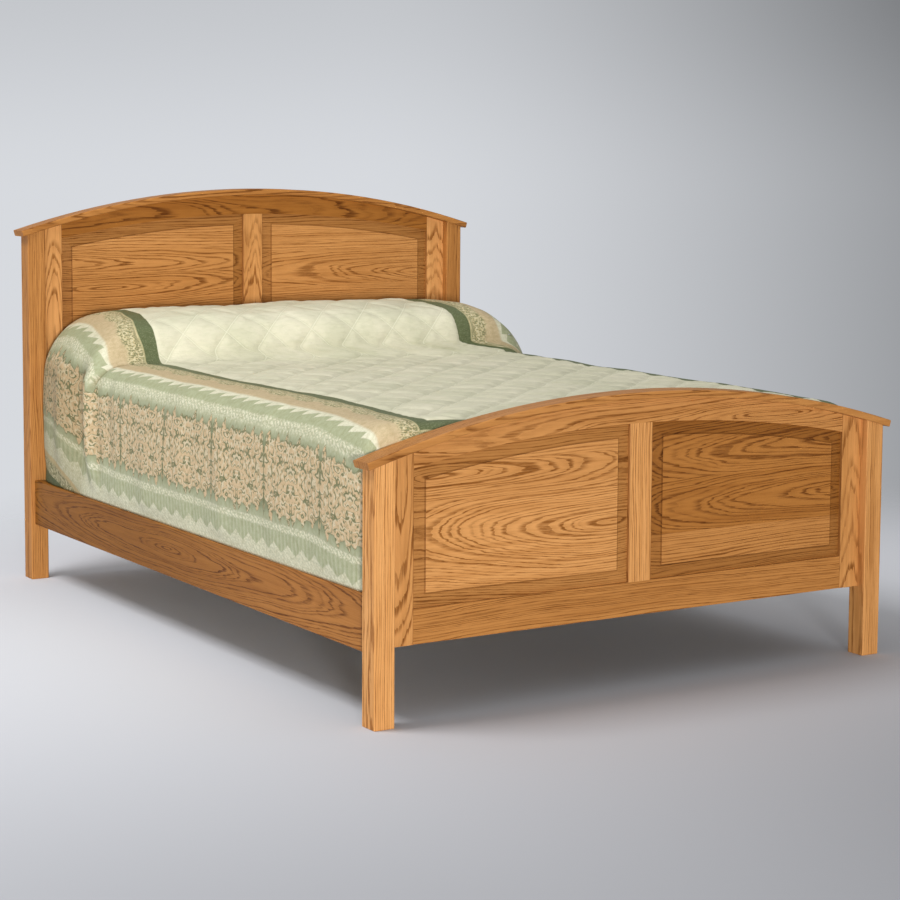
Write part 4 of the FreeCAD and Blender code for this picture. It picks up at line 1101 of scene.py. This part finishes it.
def spread_finish(settings):
    """Quilted sateen field with a woven border of bands, sawteeth, a vine and leaf medallions."""
    finish = Finish("quilted_spread")
    node = finish.add("ShaderNodeAttribute", attribute_name="cloth_place")
    across, along, shade = finish.split(Term(finish, node.outputs["Vector"]))
    beside = across.size() - FIELD_HALF
    below = along * -1.0
    at_foot = (below - beside).above(0.0)
    border = finish.math("MAXIMUM", beside, below)
    track = along + (across - along) * at_foot
    flat = finish.point(across, along, 0.0)
    pots = {key: tuple(getattr(settings, key)) for key in settings.__annotations__ if key in SPREAD_POTS}
    field, cream, sage, forest, blush, gold = (pots[key] for key in SPREAD_POTS)

    thread = (track * 2600.0 + border * 900.0).sine() * 0.5 + 0.5
    slub = finish.noise((track * 260.0, border * 900.0, 0.0), detail=2.0)
    stipple = finish.noise((across * 30.0, along * 90.0, 3.0), detail=2.0)
    fray = (finish.noise((track * 170.0, border * 30.0, 2.0), detail=2.0) - 0.5) * 0.022
    cloud = finish.noise(flat, scale=5.0, detail=2.0)
    fleck = finish.noise(flat, scale=230.0, detail=2.0)

    finish.colour = finish.mix(cloud.ramp(0.3, 0.7), field, blend_colour(0.3, field, sage))
    finish.darken(stipple.ramp(0.42, 0.68) * 0.5, (0.88, 0.90, 0.86))
    size = settings.diamond * math.sqrt(2)
    stitches = [((across + along * way) / size + 0.5).part() - 0.5 for way in (1.0, -1.0)]
    stitch = finish.math("MINIMUM", stitches[0].size(), stitches[1].size()) * size
    # Painted shade along the quilting seams, then a pale line on each seam.
    finish.darken((1.0 - stitch.ramp(0.003, 0.011)) * 0.6, (0.88, 0.89, 0.84))
    finish.paint((1.0 - stitch.ramp(0.0012, 0.003)) * 0.45, (0.90, 0.88, 0.72))

    # Dark green band with a pale sprinkle.
    green = finish.mix(fleck.ramp(0.45, 0.75) * 0.4, forest, sage)
    finish.paint(border.ramp(-0.001, 0.001), green)

    # Vine: gold leaves with dark gaps, winding between the green and the plain blush.
    olive = blend_colour(0.30, forest, gold)
    wind = (track * (2 * math.pi / VINE_TURN)).sine()
    dull, bright = blend_colour(0.35, blush, sage), blend_colour(0.4, blush, cream)
    plain = finish.mix(slub.ramp(0.3, 0.7) * 0.5, dull, bright)
    curl = finish.noise((track.zigzag(VINE_TURN), border * 8.0, 6.0), scale=6.0, detail=2.0)
    leaf = (curl * 4.5).part()
    vine = finish.mix(leaf.close_to(0.5, 0.36), olive, blend_colour(0.3, gold, blush))
    vine = finish.mix(leaf.close_to(0.5, 0.16) * 0.9, vine, blend_colour(0.5, gold, cream))
    finish.paint((border + fray * 0.2).starts(VINE_BAND, 0.004), plain)
    finish.paint((border - wind * 0.004).close_to(0.060, 0.006) * 0.8, olive)
    finish.paint((border - wind * 0.004).close_to(0.052, 0.004) * 0.7, gold)
    vine_zone = (border - wind * 0.009 + fray * 0.8).close_to(0.084, 0.034)
    finish.paint(vine_zone, vine)

    # Cream to sage in slanting sawteeth, then a strip of short slanting strokes.
    teeth = (track / TOOTH_WIDTH).part()
    finish.paint((border + fray * 0.3).starts(CREAM_BAND, 0.012), cream)
    saw = border - teeth * 0.024 + fray * 0.15
    finish.paint(saw.starts(SAGE_TEETH, 0.004), sage)
    strokes = ((track + border * 1.3 + fray * 0.25) / BAR_WIDTH).part()
    glint = finish.noise((track * 120.0, border * 160.0, 1.0), detail=1.0).ramp(0.40, 0.55)
    light = finish.mix(strokes.close_to(0.5, 0.5) * glint, blend_colour(0.25, sage, cream), cream)
    finish.paint((border + fray * 0.7).starts(STROKE_BAND, 0.010), light)

    # Leaves on green.
    mid = (border - MEDALLION_MIDDLE).size()
    deep, light_sage = blend_colour(0.42, forest, sage), blend_colour(0.2, sage, cream)
    ground = finish.mix(mid.ramp(0.07, 0.13), deep, light_sage)
    ground = finish.mix(fleck.ramp(0.5, 0.8) * 0.25, ground, cream)
    finish.paint((border + fray * 1.6).starts(LEAF_BAND, 0.028), ground)
    leaves(finish, track, border, pots, slub)

    # Light line, upright green bars, and a cream zigzag to the hem.
    edge = border + fray * 0.5
    finish.paint(edge.starts(LIGHT_LINE, 0.006), light)
    bars = (track / BAR_WIDTH + fray * 9.0).part().ramp(0.3, 0.7)
    barred = finish.mix(bars * 0.55, sage, blend_colour(0.45, sage, cream))
    finish.paint(edge.starts(BAR_BAND, 0.006), barred)
    peaks = track.zigzag(ZIGZAG_WIDTH)
    pale = finish.mix(slub.ramp(0.3, 0.7), cream, light)
    finish.paint((edge + peaks * 0.024).starts(ZIGZAG_BAND, 0.004), pale)
    tail = finish.mix(leaf.close_to(0.5, 0.3), olive, blend_colour(0.5, gold, cream))
    tail = finish.mix(edge.starts(GOLD_BAND, 0.020), blend_colour(0.4, gold, blush), tail)
    finish.paint(edge.starts(TAIL_BAND, 0.006), tail)
    finish.paint(edge.starts(OUTER_BAND, 0.004), green)

    in_border = border.ramp(-0.003, 0.0)
    weave = finish.noise((track * 90.0, border * 60.0, 8.0), detail=3.0)
    finish.darken(weave.ramp(0.35, 0.72) * in_border * 0.45, (0.68, 0.65, 0.52))
    finish.darken(fleck.ramp(0.35, 0.7) * in_border * 0.35, (0.74, 0.74, 0.70))
    finish.darken(thread * 0.2, (0.86, 0.86, 0.86))
    # Painted shade of the folds, from the cloth's third value.
    finish.darken(shade, (0.42, 0.36, 0.24))
    finish.look(finish.colour, slub * 0.15 + 0.5, Specular_IOR_Level=0.2)
    finish.relief(stipple * (1.0 - in_border) + fleck * 0.35 + curl * in_border * 0.4, 0.0022)
    return finish.material


def leaves(finish, track, border, pots, slub):
    """Mirrored leaf clusters side by side, with tips above and below, olive stems and cream outlines."""
    turns = track / MEDALLION_PERIOD
    beside = ((turns + 0.5).part() - 0.5).size() * MEDALLION_PERIOD
    above = border - MEDALLION_MIDDLE
    reach = above.size()
    wave = finish.noise((beside * 24.0, above * 24.0, turns.whole() * 0.5), detail=3.0) - 0.5
    lean = beside + above * 0.12 + wave * 0.02
    tip = ((lean / 0.048).part() - 0.5) * 0.048
    tall = finish.dice((lean / 0.048).whole() + above.above(0.0) * 7.0 + (turns * 2.0).whole() * 3.0)
    leaf_width = tip / 0.0135
    leaf_height = (reach - 0.086) / (tall * 0.022 + 0.018)
    tips = leaf_width * leaf_width + leaf_height * leaf_height + (leaf_width.size() * leaf_height)
    notch = beside.ramp(0.112, 0.150)
    over = finish.math("MINIMUM", (tips - 1.0) * 0.014, reach - (wave * 0.060 - notch * 0.022 + 0.092))
    over = over + wave * 0.012
    olive = blend_colour(0.10, pots["forest"], pots["gold"])
    pale = blend_colour(0.65, pots["blush"], pots["cream"])
    leaf = finish.mix(slub.ramp(0.3, 0.7), pots["blush"], blend_colour(0.30, pots["blush"], pots["cream"]))
    swirl = finish.noise((beside * 15.0, above * 17.0, 4.0), detail=2.0)
    veins = (swirl * 9.0).part()
    bold = finish.noise((beside * 30.0, above * 30.0, 12.0), detail=1.0).ramp(0.32, 0.52)
    leaf = finish.mix(veins.close_to(0.36, 0.16) * 0.7, leaf, pale)
    leaf = finish.mix(veins.close_to(0.14, 0.15) * bold * 0.9, leaf, olive)
    marks = finish.noise((beside * 110.0, above * 80.0, 7.0), detail=1.0)
    leaf = finish.mix(marks.ramp(0.56, 0.64) * 0.8, leaf, olive)
    leaf = finish.mix((1.0 - marks.ramp(0.32, 0.42)) * 0.6, leaf, pale)
    stem = (beside - wave * 0.03).close_to(MEDALLION_PERIOD / 2, 0.006)
    leaf = finish.mix(stem * 0.7, leaf, olive)
    finish.paint(1.0 - over.ramp(-0.0012, 0.0012), leaf)
    finish.paint(over.close_to(0.0, 0.0030) * 0.45, olive)


class PANELBED_OT_spread(bpy.types.Operator):
    """Drape the quilted spread over the mattress and the pillows"""

    bl_idname = "panelbed.spread"
    bl_label = "Quilted spread"

    def execute(self, context):
        settings = context.scene.panelbed_spread
        points, place = shaped_spread(settings)
        rows, columns = points.shape[:2]
        flap, flap_place, reach, far_reach = foot_flap(points, place)
        faces = [grid_faces(rows, columns)]
        first = rows * columns
        width = far_reach - reach + 1
        numbers = first + np.arange(len(flap) * width).reshape(len(flap), width)
        top = np.arange(reach, far_reach + 1)
        sheet = np.concatenate([top[None], numbers])
        steps = len(flap)
        for step in range(1, steps + 1):
            sheet[step, 0] = reach - step
            far = far_reach + int(round(step * (columns - 1 - far_reach) / steps))
            sheet[step, -1] = min(far, columns - 1)
        flap_faces = np.stack([sheet[:-1, 1:], sheet[:-1, :-1], sheet[1:, :-1], sheet[1:, 1:]], -1)
        faces.append(flap_faces.reshape(-1, 4))
        all_points = np.concatenate([points.reshape(-1, 3), flap.reshape(-1, 3)])
        all_place = np.concatenate([place.reshape(-1, 3), flap_place.reshape(-1, 3)])
        faces, all_points, all_place = compact(np.concatenate(faces), all_points, all_place)
        spread = piece_mesh("quilted_spread", all_points, faces, spread_finish(settings), all_place)
        shell = spread.modifiers.new("wadding", "SOLIDIFY")
        shell.thickness = settings.thickness
        shell.offset = -1.0
        settle(spread, "coverlet", "coverlet")
        return {"FINISHED"}


# ---- stage --------------------------------------------------------------------------------------
# The camera stands at the photograph's place: metres, and degrees for its turns. Only the camera uses these.
CAMERA_PLACE = (-3.48437, -5.69715, 1.42255)
CAMERA_HEADING = 32.189
CAMERA_DOWN = 5.708
CAMERA_ROLL = 0.334
CAMERA_LENS = 91.115
CAMERA_SENSOR = 36.0
CAMERA_RISE = -0.1

# ---- floor and backdrop, along the room's own axes: +X is the bed's right, -Y is in front of its foot
# The dims of the floor and the backdrop are painted falloff of light in their colour.
FLOOR_RIGHT, FLOOR_RIGHT_DIM = (-1.2, 0.6), 0.22
FLOOR_FRONT, FLOOR_FRONT_DIM = (-3.0, 0.4), 0.38
FLOOR_MIDDLE, FLOOR_FADE = (0.0, -0.9), (1.9, 3.8)
WALL_RIGHT, WALL_RIGHT_DIM, WALL_MOST_DIM = (0.49, 0.83), 0.82, 0.55
WALL_TOP, WALL_TOP_DIM = (-0.03, 0.075), 0.2

FRONT_LAMP, FRONT_LAMP_AIM, FRONT_LAMP_SIZE = (-7.4, -16.6, 1.15), (0.0, -0.8, 0.55), 2.2
TOP_LAMP, TOP_LAMP_AIM, TOP_LAMP_SIZE = (-3.1, 0.1, 5.0), (0.0, -0.3, 0.4), 1.9
SKY_LOW, SKY_HIGH = (0.04, 0.04, 0.042), (1.0, 0.99, 0.98)
FLOOR_REACH = 120.0
BLACK = (0.0, 0.0, 0.0)


def camera_matrix():
    """Camera place and turn from its heading, tilt and roll."""
    heading, down, roll = (math.radians(turn) for turn in (CAMERA_HEADING, CAMERA_DOWN, CAMERA_ROLL))
    level_out = Vector((math.sin(heading), math.cos(heading), 0.0))
    forward = level_out * math.cos(down) - Vector((0.0, 0.0, math.sin(down)))
    right = Vector((math.cos(heading), -math.sin(heading), 0.0))
    up = right.cross(forward)
    level = right * math.cos(roll) + up * math.sin(roll)
    upright = up * math.cos(roll) - right * math.sin(roll)
    turn = Matrix((level, upright, -forward)).transposed().to_4x4()
    return Matrix.Translation(CAMERA_PLACE) @ turn


class PANELBED_OT_stage(bpy.types.Operator):
    """Set up the floor, the soft lamps and the camera"""

    bl_idname = "panelbed.stage"
    bl_label = "Stage"

    def execute(self, context):
        stage = context.scene.panelbed_stage
        self.floor(stage)
        self.world(context.scene, stage)
        self.lamp("front_lamp", FRONT_LAMP, FRONT_LAMP_AIM, FRONT_LAMP_SIZE, stage.front)
        self.lamp("top_lamp", TOP_LAMP, TOP_LAMP_AIM, TOP_LAMP_SIZE, stage.top)
        data = bpy.data.cameras.new("camera")
        data.lens = CAMERA_LENS
        data.sensor_fit = "HORIZONTAL"
        data.sensor_width = CAMERA_SENSOR
        data.shift_y = CAMERA_RISE
        data.clip_end = 400.0
        camera = bpy.data.objects.new("camera", data)
        camera.matrix_world = camera_matrix()
        context.scene.collection.objects.link(camera)
        context.scene.camera = camera
        context.scene.view_settings.view_transform = "Standard"
        return {"FINISHED"}

    def seen(self, finish):
        """1 for rays that show the background: straight, in gloss, or through glass."""
        path = finish.add("ShaderNodeLightPath")
        rays = ("Is Camera Ray", "Is Glossy Ray", "Is Transmission Ray")
        straight, gloss, through = (Term(finish, path.outputs[key]) for key in rays)
        return finish.math("MINIMUM", straight + gloss + through, 1.0)

    def floor(self, stage):
        """Pale floor with painted falloff of light, darker in front of the bed and to its right and in under
        its foot, that ends in the backdrop all round.
        """
        finish = Finish("pale_floor")
        x, y, z = finish.place()
        dim = (x.ramp(*FLOOR_RIGHT) * FLOOR_RIGHT_DIM + FLOOR_FRONT_DIM) * (1.0 - y.ramp(*FLOOR_FRONT))
        grain = finish.noise((x, y, z), scale=3.0, detail=3.0)
        colour = finish.mix(dim, tuple(stage.floor), BLACK)
        finish.look(colour, grain * 0.1 + 0.85, Specular_IOR_Level=0.1)
        clear = finish.add("ShaderNodeBsdfTransparent")
        blend = finish.add("ShaderNodeMixShader")
        right, back = x - FLOOR_MIDDLE[0], y - FLOOR_MIDDLE[1]
        away = (right * right + back * back).power(0.5)
        finish.feed(blend.inputs[0], away.ramp(*FLOOR_FADE) * self.seen(finish))
        finish.links.new(finish.surface.outputs[0], blend.inputs[1])
        finish.links.new(clear.outputs[0], blend.inputs[2])
        output = next(node for node in finish.nodes if node.type == "OUTPUT_MATERIAL")
        finish.links.new(blend.outputs[0], output.inputs["Surface"])
        edge = np.linspace(-FLOOR_REACH, FLOOR_REACH, 25)
        wide, long = np.meshgrid(edge, edge)
        points = np.stack([wide, long, wide * 0.0], -1).reshape(-1, 3)
        floor = piece_mesh("floor", points, grid_faces(25, 25), finish.material)

    def world(self, scene, stage):
        """Soft light from above, and the backdrop that shows behind the bed, with painted falloff of light:
        darker to the right and towards the top.
        """
        world = bpy.data.worlds.new("studio")
        scene.world = world
        world.use_nodes = True
        finish = Finish.__new__(Finish)
        finish.nodes = world.node_tree.nodes
        finish.links = world.node_tree.links
        finish.nodes.clear()
        direction = finish.add("ShaderNodeTexCoord")
        x, _, z = finish.split(Term(finish, direction.outputs["Generated"]))
        dim = finish.math("MINIMUM", x.ramp(*WALL_RIGHT) * WALL_RIGHT_DIM, WALL_MOST_DIM)
        wall = finish.mix(dim + z.ramp(*WALL_TOP) * WALL_TOP_DIM, tuple(stage.wall), BLACK)
        even = finish.add("ShaderNodeBackground")
        overhead = z.ramp(0.15, 0.9)
        finish.feed(even.inputs["Color"], finish.mix(overhead, SKY_LOW, SKY_HIGH))
        even.inputs["Strength"].default_value = stage.sky
        shown = finish.add("ShaderNodeBackground")
        finish.feed(shown.inputs["Color"], wall)
        blend = finish.add("ShaderNodeMixShader")
        finish.feed(blend.inputs[0], self.seen(finish))
        finish.links.new(even.outputs[0], blend.inputs[1])
        finish.links.new(shown.outputs[0], blend.inputs[2])
        output = finish.add("ShaderNodeOutputWorld")
        finish.links.new(blend.outputs[0], output.inputs["Surface"])

    def lamp(self, name, place, target, size, power):
        data = bpy.data.lights.new(name, "AREA")
        data.shape = "SQUARE"
        data.size = size
        data.energy = power
        lamp = bpy.data.objects.new(name, data)
        lamp.location = place
        lamp.rotation_euler = (Vector(target) - Vector(place)).to_track_quat("-Z", "Y").to_euler()
        lamp.visible_camera = False
        bpy.context.scene.collection.objects.link(lamp)


# ---- sidebar and run ----------------------------------------------------------------------------
STEPS = (
    PANELBED_OT_oak_frame,
    PANELBED_OT_support,
    PANELBED_OT_hardware,
    PANELBED_OT_mattress_set,
    PANELBED_OT_pillows,
    PANELBED_OT_spread,
    PANELBED_OT_stage,
)
SETTINGS = (
    ("panelbed_oak", PANELBED_PG_oak),
    ("panelbed_spread", PANELBED_PG_spread),
    ("panelbed_stage", PANELBED_PG_stage),
)


class PANELBED_PT_sidebar(bpy.types.Panel):
    """Settings of the bed and the steps that make it"""

    bl_idname = "PANELBED_PT_sidebar"
    bl_label = "Panel Bed"
    bl_space_type = "VIEW_3D"
    bl_region_type = "UI"
    bl_category = "Panel Bed"

    def draw(self, context):
        for name, group in SETTINGS:
            box = self.layout.box()
            for key in group.__annotations__:
                box.prop(getattr(context.scene, name), key)
        for step in STEPS:
            self.layout.operator(step.bl_idname)


def register():
    for name, group in SETTINGS:
        bpy.utils.register_class(group)
        setattr(bpy.types.Scene, name, bpy.props.PointerProperty(type=group))
    for kind in (*STEPS, PANELBED_PT_sidebar):
        bpy.utils.register_class(kind)


def unregister():
    for kind in (PANELBED_PT_sidebar, *reversed(STEPS)):
        bpy.utils.unregister_class(kind)
    for name, group in reversed(SETTINGS):
        delattr(bpy.types.Scene, name)
        bpy.utils.unregister_class(group)


def main():
    register()
    for step in STEPS:
        area, name = step.bl_idname.split(".")
        getattr(getattr(bpy.ops, area), name)()


if __name__ == "__main__":
    main()
